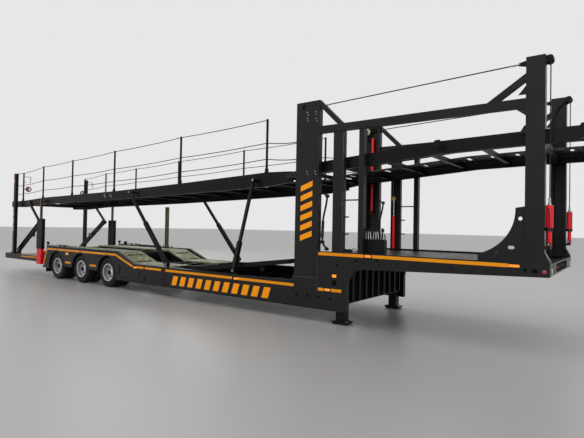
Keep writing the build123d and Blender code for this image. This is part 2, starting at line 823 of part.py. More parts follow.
# Wheel lanes: trays with turned-down edges and a row of slots, one pair to each carrier
platform_length = hypot(platform_front[0] - platform_pivot[0], platform_front[1] - platform_pivot[1])
platform_rise = (platform_front[1] - platform_pivot[1]) / (platform_front[0] - platform_pivot[0])
lane_table = [
    # name, table of x and top height with the lane's inner and outer edge for each run, drop below it
    (
        "fixed_lanes",
        [
            (extension_lane_table, lane_inner, lane_outer),
            (fixed_lane_table, fixed_lane_inner, fixed_lane_outer),
        ],
        0,
    ),
    ("rear_deck_lanes", [(deck_table, lane_inner, lane_outer)], lane_drop),
    ("front_deck_lanes", [(front_deck_table, lane_inner, lane_outer)], lane_drop + front_lane_drop),
]
for name, runs, drop in lane_table:
    with BuildPart() as lanes:
        for table, inner, outer in runs:
            rear, front = table[0][0] + 10, table[-1][0] - 10
            bends = [(row[0], row[1]) for row in table[1:-1]]
            table = [(rear, height_at(table, rear)), *bends, (front, height_at(table, front))]
            with BuildSketch(Plane.XZ.offset(inner)):
                Polygon(*strip(table, drop, lane_thick), align=None)
            extrude(amount=outer - inner)
            for edge in (inner, outer - lane_thick):
                with BuildSketch(Plane.XZ.offset(edge)):
                    Polygon(*strip(table, drop, lane_lip), align=None)
                extrude(amount=lane_thick)
            middle = -(inner + outer) / 2
            slots = spread(rear + 200, front - 200, 1 + round((front - rear - 400) / slot_pitch))
            for x in slots:
                with Locations((x, middle, height_at(table, x) - drop)):
                    Box(slot_length, slot_width, 2 * lane_lip, mode=Mode.SUBTRACT)
            # Joints between the trays, where the lane bends
            for x, height in bends:
                with Locations((x, middle, height - drop)):
                    Box(gap, outer - inner + 2, 4 * lane_lip, mode=Mode.SUBTRACT)
        mirror(about=Plane.XZ)
    save(lanes, name)

# Rear extension: channel beams, cross members, lanes, the arms' ears and the rear bumper
extension_inner = half_width - extension_beam
floor_low = extension_bottom + 15
extension_mid = extension_top - extension_height / 2
with BuildPart() as rear_extension:
    with BuildSketch(Plane.YZ.offset(rear_end)):
        for side in (-1, 1):
            with Locations((side * (half_width - extension_beam / 2), extension_mid)):
                Rectangle(extension_beam, extension_height)
            with Locations((side * (half_width - extension_beam / 2 - 8), extension_mid)):
                Rectangle(extension_beam, extension_height - 20, mode=Mode.SUBTRACT)
    extrude(amount=extension_front_x - gap - rear_end)
    with BuildSketch(Plane.XZ.offset(8 - half_width)):
        for x in spread(rear_end + cross_width, extension_front_x - cross_width, 4):
            channel(x, floor_low + 37, cross_width, 75, cross_wall)
    extrude(amount=2 * half_width - 16)
    for side in (-1, 1):
        middle = side * frame_beam_y
        block(
            (rear_end + 60, fender_x - 220),
            (middle - 50, middle + 50),
            (floor_low, extension_floor),
        )
        block(
            (fender_x - 220, fender_x - 120 - gap),
            (middle - 50, middle + 50),
            (floor_low, axle_frame_top - deck_plate),
        )
    # Rear bumper under the deck
    block(
        (rear_end, rear_end + 80),
        (extension_beam - half_width, half_width - extension_beam),
        (extension_bottom, extension_bottom + bumper_height),
    )
    # Ears and pins of the folding arms
    for side in (-1, 1):
        start = side * (lower_arm_inner - 16)
        with BuildSketch(Plane.XZ.offset(start)):
            link((arm_foot[0], floor_low + 60), arm_foot, 120)
        extrude(amount=side * 10)
        with BuildSketch(Plane.XZ.offset(start)):
            with Locations(arm_foot):
                Circle(pin_radius)
        extrude(amount=side * (lower_arm_outer - lower_arm_inner + 16))
    for side in (-1, 1):
        ys = sorted((side * (lower_arm_inner - 16), side * (half_width - 8)))
        block((arm_foot[0] - 60, arm_foot[0] + 60), ys, (floor_low, floor_low + 75))
save(rear_extension, "rear_extension")

# Rear posts with capped heads, and the lift columns
with BuildPart() as rear_posts:
    hollow_block(
        (rear_post_x, rear_post_x + rear_post_length),
        (-half_width, -half_width + rear_post_depth),
        (extension_top + gap, rear_post_top),
        6,
    )
    for z in (extension_top + gap, rear_post_top - 10):
        block(
            (rear_post_x, rear_post_x + rear_post_length),
            (-half_width, -half_width + rear_post_depth),
            (z, z + 10),
        )
    hollow_block(
        (column_x - column_length / 2, column_x + column_length / 2),
        (-half_width, -column_inner),
        (column_bottom, column_top),
        column_wall,
    )
    # Slot down the inner face for the rod's boss
    with Locations((column_x, -column_inner - column_wall / 2, (column_slot_foot + column_top) / 2)):
        Box(
            2 * (boss_radius + arm_clear),
            column_wall + 2,
            column_top - column_slot_foot,
            mode=Mode.SUBTRACT,
        )
    mirror(about=Plane.XZ)
save(rear_posts, "rear_posts")

# Hydraulic rams: barrels with a gland ring, standing in the posts and ahead of the front pillars
post_ram = (channel_post[0] + post_wall + post_ram_radius + 5, post_outer_y - post_wall - 42)
ram_table = [
    # x, y from the middle, foot height, barrel length, barrel radius, bore radius
    (mid_ram_x, half_width - 58, shelf_z + 12, 1700, 33, 0),
    (*post_ram, gooseneck_top + gap, 700, post_ram_radius, post_ram_bore),
    (front_ram_x, front_ram_y, front_ram_foot, 240, 30, 0),
    (front_ram_x, front_ram_y, front_ram_foot + 232, 311, 45, 0),
]
with BuildPart() as lift_rams:
    hollow_block(
        (column_x - column_length / 2 + ram_foot_inset, column_x + column_length / 2 - ram_foot_inset),
        (-half_width, -column_inner),
        (ram_foot_z, column_bottom - gap),
        6,
    )
    for x, y, foot, length, radius, bore in ram_table:
        with BuildSketch(Plane.XY.offset(foot)):
            with Locations((x, -y)):
                Circle(radius)
                if bore:
                    Circle(bore, mode=Mode.SUBTRACT)
        extrude(amount=length)
    mirror(about=Plane.XZ)
save(lift_rams, "lift_rams")

# Rods of the channel posts' rams, with the block that the ropes run over
with BuildPart() as post_ram_rods:
    with BuildSketch(Plane.XY.offset(post_rod_bottom)):
        with Locations((post_ram[0], -post_ram[1])):
            Circle(post_ram_bore - post_rod_clear)
    extrude(amount=post_rod_top - post_rod_bottom)
    with BuildSketch(Plane.XY.offset(post_rod_top - 12)):
        with Locations((post_ram[0], -post_ram[1])):
            Rectangle(2 * post_ram_radius, 2 * post_ram_radius - 8)
    extrude(amount=90)
    with BuildSketch(Plane.XY.offset(post_rod_bottom)):
        with Locations((post_ram[0], -post_ram[1])):
            Circle(post_ram_bore - gap)
    extrude(amount=60)
    mirror(about=Plane.XZ)
save(post_ram_rods, "post_ram_rods")

# Axles: a round beam in two trailing arms that hang from brackets under the long beams
arm_pivot_z = 480
hanger_run = 470
hub_wall = 10
axle_tube_half = tyre_inner_y + axle_tube_past_tyre
stub_end = tyre_outer_y - dish_depth - hub_clear
with BuildPart() as axles:
    for x in axle_xs:
        with BuildSketch(Plane.XZ.offset(-axle_tube_half)):
            with Locations((x, tyre_radius)):
                Circle(axle_radius)
        extrude(amount=2 * axle_tube_half)
        for side in (-1, 1):
            # Stub that carries the hub
            with BuildSketch(Plane.XZ.offset(-side * axle_tube_half)):
                with Locations((x, tyre_radius)):
                    Circle(axle_radius - hub_wall - gap)
            extrude(amount=-side * (stub_end - axle_tube_half))
            middle = side * frame_beam_y
            with BuildSketch(Plane.XZ.offset(-middle - 35)):
                Polygon(
                    (x + hanger_run, arm_pivot_z + 35),
                    (x + hanger_run + 30, arm_pivot_z),
                    (x + hanger_run, arm_pivot_z - 35),
                    (x + 80, tyre_radius - 80),
                    (x - 80, tyre_radius - 80),
                    (x - 340, tyre_radius + 20),
                    (x - 340, tyre_radius + 70),
                    (x - 140, tyre_radius + 70),
                    (x - 90, tyre_radius + 80),
                    (x + 90, tyre_radius + 80),
                    align=None,
                )
            extrude(amount=70)
            with BuildSketch(Plane.XZ.offset(-middle - 45)):
                Polygon(
                    (x + hanger_run - 70, axle_frame_top - axle_frame_height - gap),
                    (x + hanger_run + 90, axle_frame_top - axle_frame_height - gap),
                    (x + hanger_run + 60, arm_pivot_z - 50),
                    (x + hanger_run - 50, arm_pivot_z - 50),
                    align=None,
                )
            extrude(amount=90)
save(axles, "axles")

# Air springs: two-lobed bellows between the trailing arms and the long beams
spring_foot = tyre_radius + 70 + gap
spring_top = axle_frame_top - axle_frame_height - gap
with BuildPart() as air_springs:
    with BuildSketch(Plane.XZ):
        with BuildLine():
            waist = (spring_foot + spring_top) / 2
            Polyline((0, spring_top), (0, spring_foot), (84, spring_foot))
            ThreePointArc((84, spring_foot), (spring_radius, (spring_foot + waist) / 2), (88, waist))
            ThreePointArc((88, waist), (spring_radius, (spring_top + waist) / 2), (84, spring_top))
            Line((84, spring_top), (0, spring_top))
        make_face()
    revolve(axis=Axis.Z)
bellows = air_springs.part
with BuildPart() as air_springs:
    for x in axle_xs:
        for y in (-frame_beam_y, frame_beam_y):
            add(bellows.moved(Location((x - 240, y, 0))))
save(air_springs, "air_springs")

# Landing legs: outer and inner tubes, dished feet, a cross shaft and its gearbox
with BuildPart() as landing_legs:
    for side in (-1, 1):
        hollow_block(
            (leg_x - leg_outer / 2, leg_x + leg_outer / 2),
            sorted((side * (leg_y - leg_outer / 2), side * (leg_y + leg_outer / 2))),
            (330, leg_top),
            leg_wall,
        )
        block(
            (leg_x - leg_inner / 2, leg_x + leg_inner / 2),
            sorted((side * (leg_y - leg_inner / 2), side * (leg_y + leg_inner / 2))),
            (60, 700),
        )
        with BuildSketch(Plane.XZ.offset(-side * leg_y - 110)):
            Polygon(
                (leg_x - leg_foot / 2, 45),
                (leg_x - leg_foot / 2 + 50, 0),
                (leg_x + leg_foot / 2 - 50, 0),
                (leg_x + leg_foot / 2, 45),
                (leg_x + 90, 62),
                (leg_x - 90, 62),
                align=None,
            )
        extrude(amount=220)
    with BuildSketch(Plane.XZ.offset(-(leg_y - leg_outer / 2))):
        with Locations((leg_x, 800)):
            Circle(20)
    extrude(amount=2 * (leg_y - leg_outer / 2))
    block(
        (leg_x - 60, leg_x + 60),
        (-leg_y + leg_outer / 2, -leg_y + leg_outer / 2 + 90),
        (720, 900),
    )
save(landing_legs, "landing_legs")

# Mudflaps behind the rear wheels, stiffened by a bar
with BuildPart() as mudflaps:
    flap_x = fender_x - fender_sweep + 30
    flap_ys = (gap - flange_inner_y, mudflap_past_tyre - tyre_inner_y)
    block((flap_x, flap_x + 8), flap_ys, (mudflap_bottom, mudflap_top))
    block((flap_x - 6, flap_x + 14), flap_ys, (mudflap_top - 30, mudflap_top))
    mirror(about=Plane.XZ)
save(mudflaps, "mudflaps")

# Valve block with hand levers, on the right of the gooseneck floor
valve_x = pillar_front_x + valve_past_pillar
valve_y = half_width - 165
with BuildPart() as valve_block:
    block((valve_x, valve_x + valve_length), (-valve_y - 50, -valve_y + 50), (floor_z + gap, 1500))
    fillet(valve_block.edges().filter_by(Axis.Y).group_by(Axis.Z)[-1], radius=25)
    for x in spread(valve_x + 60, valve_x + valve_length - 60, 6):
        block((x - 6, x + 6), (-valve_y - 6, -valve_y + 6), (1500, 1670))
        block((x - 14, x + 14), (-valve_y - 14, -valve_y + 14), (1660, 1688))
save(valve_block, "valve_block")

# Marker lamps along the sides and lamp clusters at the rear
lamp_table = [
    # x, height, length, depth
    (slope_foot_x + 142, 604, 110, 40),
    (pillar_rear_x - 1473, 610, 110, 40),
    (pillar_rear_x + 860, 843, 84, 50),
    (nose_x - 432, 1207, 140, 36),
    (axle_xs[1] - 726, 777, 130, 62),
]
with BuildPart() as marker_lamps:
    for x, z, length, depth in lamp_table:
        with BuildSketch(Plane.XZ.offset(plate_outer_y + gap)):
            with Locations((x, z)):
                RectangleRounded(length, depth, 12)
        extrude(amount=lamp_proud - gap)
    block(
        (rear_end + 20, rear_end + 80 - gap),
        (-half_width + extension_beam + 60, -half_width + extension_beam + 360),
        (extension_bottom + bumper_height + gap, extension_bottom + bumper_height + 70),
    )
    mirror(about=Plane.XZ)
save(marker_lamps, "marker_lamps")

# Prop post on the left of the axle deck, with its collar and head plate
prop_place = (axle_xs[0] - prop_post_back, half_width - prop_post_inset)
with BuildPart() as prop_post:
    with BuildSketch(Plane.XY.offset(axle_deck_top + gap)):
        with Locations(prop_place):
            Circle(30)
    extrude(amount=1260)
    with BuildSketch(Plane.XY.offset(axle_deck_top + gap)):
        with Locations(prop_place):
            Rectangle(110, 90)
    extrude(amount=12)
save(prop_post, "prop_post")

# Rear upper deck: bent channel beams with bosses for the pivot, and cross members
with BuildSketch() as deck_profile:
    Polygon(
        *[(x, z) for x, z, depth in deck_table],
        *[(x, z - depth) for x, z, depth in reversed(deck_table)],
        align=None,
    )
member_drop = lane_drop + lane_lip + gap + cross_height / 2
with BuildPart() as rear_deck_frame:
    with BuildSketch(Plane.XZ.offset(deck_web_y)):
        add(deck_profile.sketch)
    extrude(amount=deck_web)
    with BuildSketch(Plane.XZ.offset(deck_inner_y)):
        add(deck_profile.sketch)
        offset(amount=-deck_flange, mode=Mode.SUBTRACT)
    extrude(amount=deck_beam_width)
    with BuildSketch(Plane.XZ.offset(deck_web_y - 20)):
        with Locations(pivot):
            Circle(2 * boss_radius)
    extrude(amount=20)
    with BuildSketch(Plane.XZ.offset(deck_inner_y)):
        with Locations(pivot):
            Circle(pivot_radius + pin_play)
    extrude(amount=deck_beam_width, mode=Mode.SUBTRACT)
    mirror(about=Plane.XZ)
    with BuildSketch(Plane.XZ.offset(-deck_web_y)):
        for x in spread(deck_table[0][0] + 60, pivot[0] - 140, 14):
            z = min(edge_heights(deck_table, x, cross_width / 2)) - member_drop
            channel(x, z, cross_width, cross_height, cross_wall)
    extrude(amount=2 * deck_web_y)
save(rear_deck_frame, "rear_deck_frame")

# Handrail posts on foot plates
rail_post_table = [
    # x, height of the post
    (-8190, 950),
    (-6805, 1010),
    (-5015, 1040),
    (-2840, 1090),
    (-145, 1100),
    (2470, 1070),
]
rail_post_y = deck_outer_y - 35
with BuildPart() as deck_handrails:
    for x, height in rail_post_table:
        z = max(edge_heights(deck_table, x, 40)) + gap
        block((x - 40, x + 40), (-rail_post_y - 30, -rail_post_y + 30), (z, z + 10))
        block((x - 17, x + 17), (-rail_post_y - 17, -rail_post_y + 17), (z, z + height))
    mirror(about=Plane.XZ)
save(deck_handrails, "deck_handrails")

# Front upper deck: channel beams, cross members and the shoes that run in the posts
with BuildSketch() as front_deck_profile:
    Polygon(*strip(front_deck_table, 0, front_deck_depth), align=None)
shoe_drop = 25
shoe_clear = 6
shoe_height = 170
with BuildPart() as front_deck_frame:
    with BuildSketch(Plane.XZ.offset(deck_web_y)):
        add(front_deck_profile.sketch)
    extrude(amount=deck_web)
    with BuildSketch(Plane.XZ.offset(deck_inner_y)):
        add(front_deck_profile.sketch)
        offset(amount=-deck_flange, mode=Mode.SUBTRACT)
    extrude(amount=deck_beam_width)
    # Shoes on necks: in the channel post beside its ram, and in the front pillar
    for shoe, outer, inner in (
        (
            (post_ram[0] + post_ram_radius + shoe_clear, channel_post[1] - post_wall - shoe_clear),
            post_outer_y - post_wall - gap,
            post_inner_y + 12,
        ),
        (
            (front_pillar_rear_x + post_wall + shoe_clear, front_pillar_front_x - post_wall - shoe_clear),
            half_width - post_wall - gap,
            half_width - front_pillar_depth + post_wall + shoe_clear,
        ),
    ):
        x = (shoe[0] + shoe[1]) / 2
        top = height_at(front_deck_table, x) - shoe_drop
        block((x - 40, x + 40), (-outer, deck_web - deck_outer_y), (top - shoe_height, top))
        block(shoe, (-outer, -inner), (top - shoe_height, top))
    mirror(about=Plane.XZ)
    with BuildSketch(Plane.XZ.offset(-deck_web_y)):
        for x in spread(front_deck_table[0][0] + 60, front_end - 60, 8):
            z = min(edge_heights(front_deck_table, x, cross_width / 2)) - member_drop - front_lane_drop
            channel(x, z, cross_width, cross_height, cross_wall)
    extrude(amount=2 * deck_web_y)
save(front_deck_frame, "front_deck_frame")

# Tilting platform: channel beams, cross tubes, slotted trays and the rear bearing tube
with BuildPart() as tilt_platform:
    with BuildSketch(Plane.XZ.offset(platform_outer - platform_beam)):
        bar(platform_pivot, platform_front, platform_depth)
        bar(
            along(platform_pivot, platform_front, 10),
            along(platform_pivot, platform_front, platform_length - 10),
            platform_depth - 2 * deck_flange,
        )
    extrude(amount=platform_beam)
    with BuildSketch(Plane.XZ.offset(platform_outer - platform_beam)):
        bar(
            along(platform_pivot, platform_front, 60),
            along(platform_pivot, platform_front, platform_length - 10),
            platform_depth - 2 * deck_flange,
        )
    extrude(amount=platform_beam - deck_web, mode=Mode.SUBTRACT)
    tray_rise = platform_depth / 2 - lane_thick / 2
    tray_start = (platform_pivot[0], platform_pivot[1] + tray_rise)
    tray_end = (platform_front[0], platform_front[1] + tray_rise)
    with BuildSketch(Plane.XZ.offset(lane_inner)):
        bar(tray_start, tray_end, lane_thick)
    extrude(amount=platform_outer - platform_beam - lane_inner)
    with BuildSketch(Plane.XZ.offset(lane_inner)):
        bar(
            along(platform_pivot, platform_front, 0),
            along(platform_pivot, platform_front, platform_length),
            platform_depth,
        )
    extrude(amount=lane_thick)
    for i in range(8):
        x, z = along(tray_start, tray_end, 250 + i * (platform_length - 500) / 7)
        with Locations((x, -(lane_inner + lane_outer) / 2, z)):
            Box(slot_length, slot_width, 40, mode=Mode.SUBTRACT)
    mirror(about=Plane.XZ)
    with BuildSketch(Plane.XZ.offset(-platform_outer)):
        with Locations(platform_pivot, along(platform_pivot, platform_front, platform_length - 60)):
            Circle(platform_tube_radius)
    extrude(amount=2 * platform_outer)
save(tilt_platform, "tilt_platform")

# Telescopic struts of the rear deck: sleeves on the skirt ears
with BuildPart() as box_struts:
    with BuildSketch(Plane.XZ.offset(strut_inner)):
        link(box_strut_foot, along(box_strut_foot, box_strut_head, 60), box_strut_width)
        bar(
            along(box_strut_foot, box_strut_head, 40),
            along(box_strut_foot, box_strut_head, box_sleeve_length),
            box_strut_width,
        )
        with Locations(box_strut_foot):
            Circle(pin_radius + pin_play, mode=Mode.SUBTRACT)
    extrude(amount=strut_depth)
    with BuildSketch(Plane.XZ.offset(strut_inner + box_strut_wall)):
        bar(
            along(box_strut_foot, box_strut_head, 160),
            along(box_strut_foot, box_strut_head, box_sleeve_length + 1),
            box_strut_width - 2 * box_strut_wall,
        )
    extrude(amount=strut_depth - 2 * box_strut_wall, mode=Mode.SUBTRACT)
    mirror(about=Plane.XZ)
save(box_struts, "box_struts")

# Their rods, with a slide pad inside the sleeve and a boss that bears on the deck beam
rod_width = box_strut_width - 2 * box_strut_wall - 2 * strut_clear
rod_start = box_sleeve_length - box_rod_inside
with BuildPart() as box_strut_rods:
    with BuildSketch(Plane.XZ.offset(strut_inner + box_strut_wall + strut_clear)):
        bar(along(box_strut_foot, box_strut_head, rod_start), box_strut_head, rod_width)
        with Locations(box_strut_head):
            Circle(rod_width / 2 + 8)
    extrude(amount=strut_depth - 2 * box_strut_wall - 2 * strut_clear)
    with BuildSketch(Plane.XZ.offset(strut_inner + box_strut_wall + gap)):
        bar(
            along(box_strut_foot, box_strut_head, rod_start),
            along(box_strut_foot, box_strut_head, rod_start + strut_pad),
            box_strut_width - 2 * box_strut_wall - 2 * gap,
        )
    extrude(amount=strut_depth - 2 * box_strut_wall - 2 * gap)
    with BuildSketch(Plane.XZ.offset(deck_outer_y + gap)):
        with Locations(box_strut_head):
            Circle(boss_radius)
    extrude(amount=strut_inner - deck_outer_y + box_strut_wall + strut_clear)
    mirror(about=Plane.XZ)
save(box_strut_rods, "box_strut_rods")

# Pierced struts: short sleeves on the skirt, and bars with a row of locking holes
with BuildPart() as pin_strut_sleeves:
    with BuildSketch(Plane.XZ.offset(strut_inner)):
        link(pin_strut_foot, along(pin_strut_foot, pin_strut_head, 60), pin_sleeve_width)
        bar(
            along(pin_strut_foot, pin_strut_head, 40),
            along(pin_strut_foot, pin_strut_head, pin_sleeve_length),
            pin_sleeve_width,
        )
        with Locations(pin_strut_foot):
            Circle(pin_radius + pin_play, mode=Mode.SUBTRACT)
    extrude(amount=strut_depth)
    with BuildSketch(Plane.XZ.offset(strut_inner + box_strut_wall)):
        bar(
            along(pin_strut_foot, pin_strut_head, 160),
            along(pin_strut_foot, pin_strut_head, pin_sleeve_length + 1),
            pin_sleeve_width - 2 * box_strut_wall,
        )
    extrude(amount=strut_depth - 2 * box_strut_wall, mode=Mode.SUBTRACT)
    mirror(about=Plane.XZ)
save(pin_strut_sleeves, "pin_strut_sleeves")

bar_width = pin_sleeve_width - 2 * box_strut_wall - 2 * strut_clear
bar_start = pin_sleeve_length - pin_bar_inside
bar_length = hypot(pin_strut_head[0] - pin_strut_foot[0], pin_strut_head[1] - pin_strut_foot[1])
hole_count = int((bar_length - pin_sleeve_length - 120) / pin_hole_pitch)
with BuildPart() as pin_struts:
    with BuildSketch(Plane.XZ.offset(strut_inner + box_strut_wall + strut_clear)):
        bar(along(pin_strut_foot, pin_strut_head, bar_start), pin_strut_head, bar_width)
        with Locations(pin_strut_head):
            Circle(bar_width / 2 + 8)
        for i in range(hole_count):
            place = pin_sleeve_length + 60 + i * pin_hole_pitch
            with Locations(along(pin_strut_foot, pin_strut_head, place)):
                Circle(pin_hole_radius, mode=Mode.SUBTRACT)
    extrude(amount=strut_depth - 2 * box_strut_wall - 2 * strut_clear)
    with BuildSketch(Plane.XZ.offset(strut_inner + box_strut_wall + gap)):
        bar(
            along(pin_strut_foot, pin_strut_head, bar_start),
            along(pin_strut_foot, pin_strut_head, bar_start + strut_pad),
            pin_sleeve_width - 2 * box_strut_wall - 2 * gap,
        )
    extrude(amount=strut_depth - 2 * box_strut_wall - 2 * gap)
    with BuildSketch(Plane.XZ.offset(deck_outer_y + gap)):
        with Locations(pin_strut_head):
            Circle(boss_radius)
    extrude(amount=strut_inner - deck_outer_y + box_strut_wall + strut_clear)
    mirror(about=Plane.XZ)
save(pin_struts, "pin_struts")

# Lower arms: tapered box links with a recessed face and a boss at the knee
arm_run = hypot(arm_knee[0] - arm_foot[0], arm_knee[1] - arm_foot[1])
with BuildPart() as lower_arms:
    with BuildSketch(Plane.XZ.offset(lower_arm_inner)):
        link(arm_foot, arm_knee, lower_arm_width)
        with Locations(arm_knee):
            Circle(lower_arm_width / 2 + 16)
        with Locations(arm_foot):
            Circle(pin_radius + pin_play, mode=Mode.SUBTRACT)
    extrude(amount=lower_arm_outer - lower_arm_inner)
    with BuildSketch(Plane.XZ.offset(lower_arm_outer - 24)):
        link(
            along(arm_foot, arm_knee, 170),
            along(arm_foot, arm_knee, arm_run - 190),
            lower_arm_width - 2 * lower_arm_wall,
        )
    extrude(amount=24, mode=Mode.SUBTRACT)
    with BuildSketch(Plane.XZ.offset(lower_arm_inner)):
        with Locations(arm_knee):
            Circle(pin_radius)
    extrude(amount=upper_arm_outer - lower_arm_inner)
    mirror(about=Plane.XZ)
save(lower_arms, "lower_arms")

# Upper arms: forged links with a boss at the head that bears on the deck beam
with BuildPart() as upper_arms:
    with BuildSketch(Plane.XZ.offset(upper_arm_inner)):
        link(arm_knee, arm_head, upper_arm_width)
        with Locations(arm_knee, arm_head):
            Circle(upper_arm_width / 2 + 14)
        with Locations(arm_knee):
            Circle(pin_radius + pin_play, mode=Mode.SUBTRACT)
    extrude(amount=upper_arm_thick)
    with BuildSketch(Plane.XZ.offset(deck_outer_y + gap)):
        with Locations(arm_head):
            Circle(boss_radius)
    extrude(amount=upper_arm_inner - deck_outer_y)
    mirror(about=Plane.XZ)
save(upper_arms, "upper_arms")

# Lift rods that run in the columns, with a slide block and a boss on the deck beam
rod_y = half_width - column_depth / 2
with BuildPart() as lift_rods:
    block(
        (column_x - lift_rod_size / 2, column_x + lift_rod_size / 2),
        (-rod_y - lift_rod_size / 2, -rod_y + lift_rod_size / 2),
        (lift_rod_bottom, lift_rod_top),
    )
    block(
        (column_x - column_length / 2 + column_wall + gap, column_x + column_length / 2 - column_wall - gap),
        (-half_width + column_wall + gap, -column_inner - column_wall - gap),
        (column_top - 90, column_top - 5),
    )
    with BuildSketch(Plane.XZ.offset(deck_outer_y + gap)):
        with Locations((column_x, lift_rod_pin_z)):
            Circle(boss_radius)
    extrude(amount=rod_y - deck_outer_y)
    mirror(about=Plane.XZ)
save(lift_rods, "lift_rods")

# Twin wheels: two tyres and two rims on each hub
for number, x in enumerate(axle_xs, start=1):
    for side, word in ((-1, "right"), (1, "left")):
        with BuildPart() as tyres:
            for lane in range(2):
                outer = tyre_outer_y - lane * twin_spacing
                inner = outer - tyre_width
                with BuildSketch(Plane.XY):
                    with BuildLine():
                        Polyline(
                            (rim_radius + gap, -outer + 22),
                            (rim_radius + 26, -outer + 10),
                            (rim_radius + 75, -outer),
                            (tyre_radius - 50, -outer + 4),
                            (tyre_radius - 14, -outer + 18),
                            (tyre_radius, -outer + 40),
                            (tyre_radius, -inner - 40),
                            (tyre_radius - 14, -inner - 18),
                            (tyre_radius - 50, -inner - 4),
                            (rim_radius + 75, -inner),
                            (rim_radius + 26, -inner - 10),
                            (rim_radius + gap, -inner - 22),
                            close=True,
                        )
                    make_face()
                revolve(axis=Axis.Y)
        if side == 1:
            tyres.part = tyres.part.mirror(Plane.XZ)
        tyres.part = tyres.part.moved(Location((x, 0, tyre_radius)))
        save(tyres, f"tyres_{number}_{word}")

        with BuildPart() as rims:
            outer = tyre_outer_y
            inner = tyre_inner_y
            disc = outer - dish_depth
            with BuildSketch(Plane.XY):
                with BuildLine():
                    Polyline(
                        (rim_radius - rim_wall - rim_lip, -outer + 6),
                        (rim_radius, -outer + 6),
                        (rim_radius, -inner - 5),
                        (rim_radius - rim_wall, -inner - 5),
                        (rim_radius - rim_wall, -disc + disc_thick),
                        (hub_radius, -disc + disc_thick),
                        (hub_radius, -inner - 60),
                        (axle_radius - hub_wall, -inner - 60),
                        (axle_radius - hub_wall, -disc - 70),
                        (hub_radius - 40, -disc - 70),
                        (hub_radius - 22, -disc - 50),
                        (hub_radius, -disc),
                        (rim_radius - rim_wall, -disc),
                        (rim_radius - rim_wall, -outer + 40),
                        close=True,
                    )
                make_face()
            revolve(axis=Axis.Y)
            with BuildSketch(Plane.XZ.offset(disc - disc_thick - 1)):
                with PolarLocations(hand_hole_circle, 8):
                    Circle(hand_hole_radius)
            extrude(amount=disc_thick + 2, mode=Mode.SUBTRACT)
        if side == 1:
            rims.part = rims.part.mirror(Plane.XZ)
        rims.part = rims.part.moved(Location((x, 0, tyre_radius)))
        save(rims, f"rims_{number}_{word}")
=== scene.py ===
"""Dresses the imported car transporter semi-trailer for rendering: finishes, tyres, markings and fittings."""

import json
import logging
import math
from collections.abc import Callable, Sequence
from dataclasses import dataclass
from enum import Enum

import bmesh
import bpy
from mathutils import Matrix, Vector


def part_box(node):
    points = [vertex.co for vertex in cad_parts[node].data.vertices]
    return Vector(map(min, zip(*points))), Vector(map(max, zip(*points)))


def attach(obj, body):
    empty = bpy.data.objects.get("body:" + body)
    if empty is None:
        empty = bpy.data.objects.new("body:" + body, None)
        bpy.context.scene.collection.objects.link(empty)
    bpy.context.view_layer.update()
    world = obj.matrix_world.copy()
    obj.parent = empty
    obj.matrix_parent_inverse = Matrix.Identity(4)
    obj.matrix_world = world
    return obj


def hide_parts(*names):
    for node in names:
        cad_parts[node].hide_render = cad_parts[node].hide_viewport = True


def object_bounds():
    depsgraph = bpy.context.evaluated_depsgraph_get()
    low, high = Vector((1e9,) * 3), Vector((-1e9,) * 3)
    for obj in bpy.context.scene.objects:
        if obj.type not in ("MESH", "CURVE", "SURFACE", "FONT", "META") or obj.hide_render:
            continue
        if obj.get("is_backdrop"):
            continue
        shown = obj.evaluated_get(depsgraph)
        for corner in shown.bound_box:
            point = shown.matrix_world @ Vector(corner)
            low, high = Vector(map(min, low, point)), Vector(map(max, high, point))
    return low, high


log = logging.getLogger("trailer")
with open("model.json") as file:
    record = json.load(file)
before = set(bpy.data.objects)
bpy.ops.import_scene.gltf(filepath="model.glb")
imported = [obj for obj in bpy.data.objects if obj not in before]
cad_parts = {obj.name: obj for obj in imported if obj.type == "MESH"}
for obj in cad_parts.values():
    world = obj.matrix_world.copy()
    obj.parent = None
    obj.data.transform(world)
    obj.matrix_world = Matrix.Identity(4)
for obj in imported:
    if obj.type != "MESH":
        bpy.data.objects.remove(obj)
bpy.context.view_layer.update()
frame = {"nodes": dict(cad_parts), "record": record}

Colour = tuple[float, float, float]
Point = tuple[float, float, float]
Flat = tuple[float, float]
Outline = Sequence[Flat]
Sockets = dict[str, bpy.types.NodeSocket]

# Thickness of tape, and how far a stuck-on piece reaches into its plate
TAPE = 0.0012
SINK = 0.0002


class Side(Enum):
    """Side of the trailer, with the sign of its Y."""

    RIGHT = -1
    LEFT = 1

    @property
    def word(self) -> str:
        """The side's name as the nodes have it."""
        return self.name.lower()


class Axis(Enum):
    """Direction of a round piece's axis."""

    X = (1.0, 0.0, 0.0)
    Y = (0.0, 1.0, 0.0)
    Z = (0.0, 0.0, 1.0)


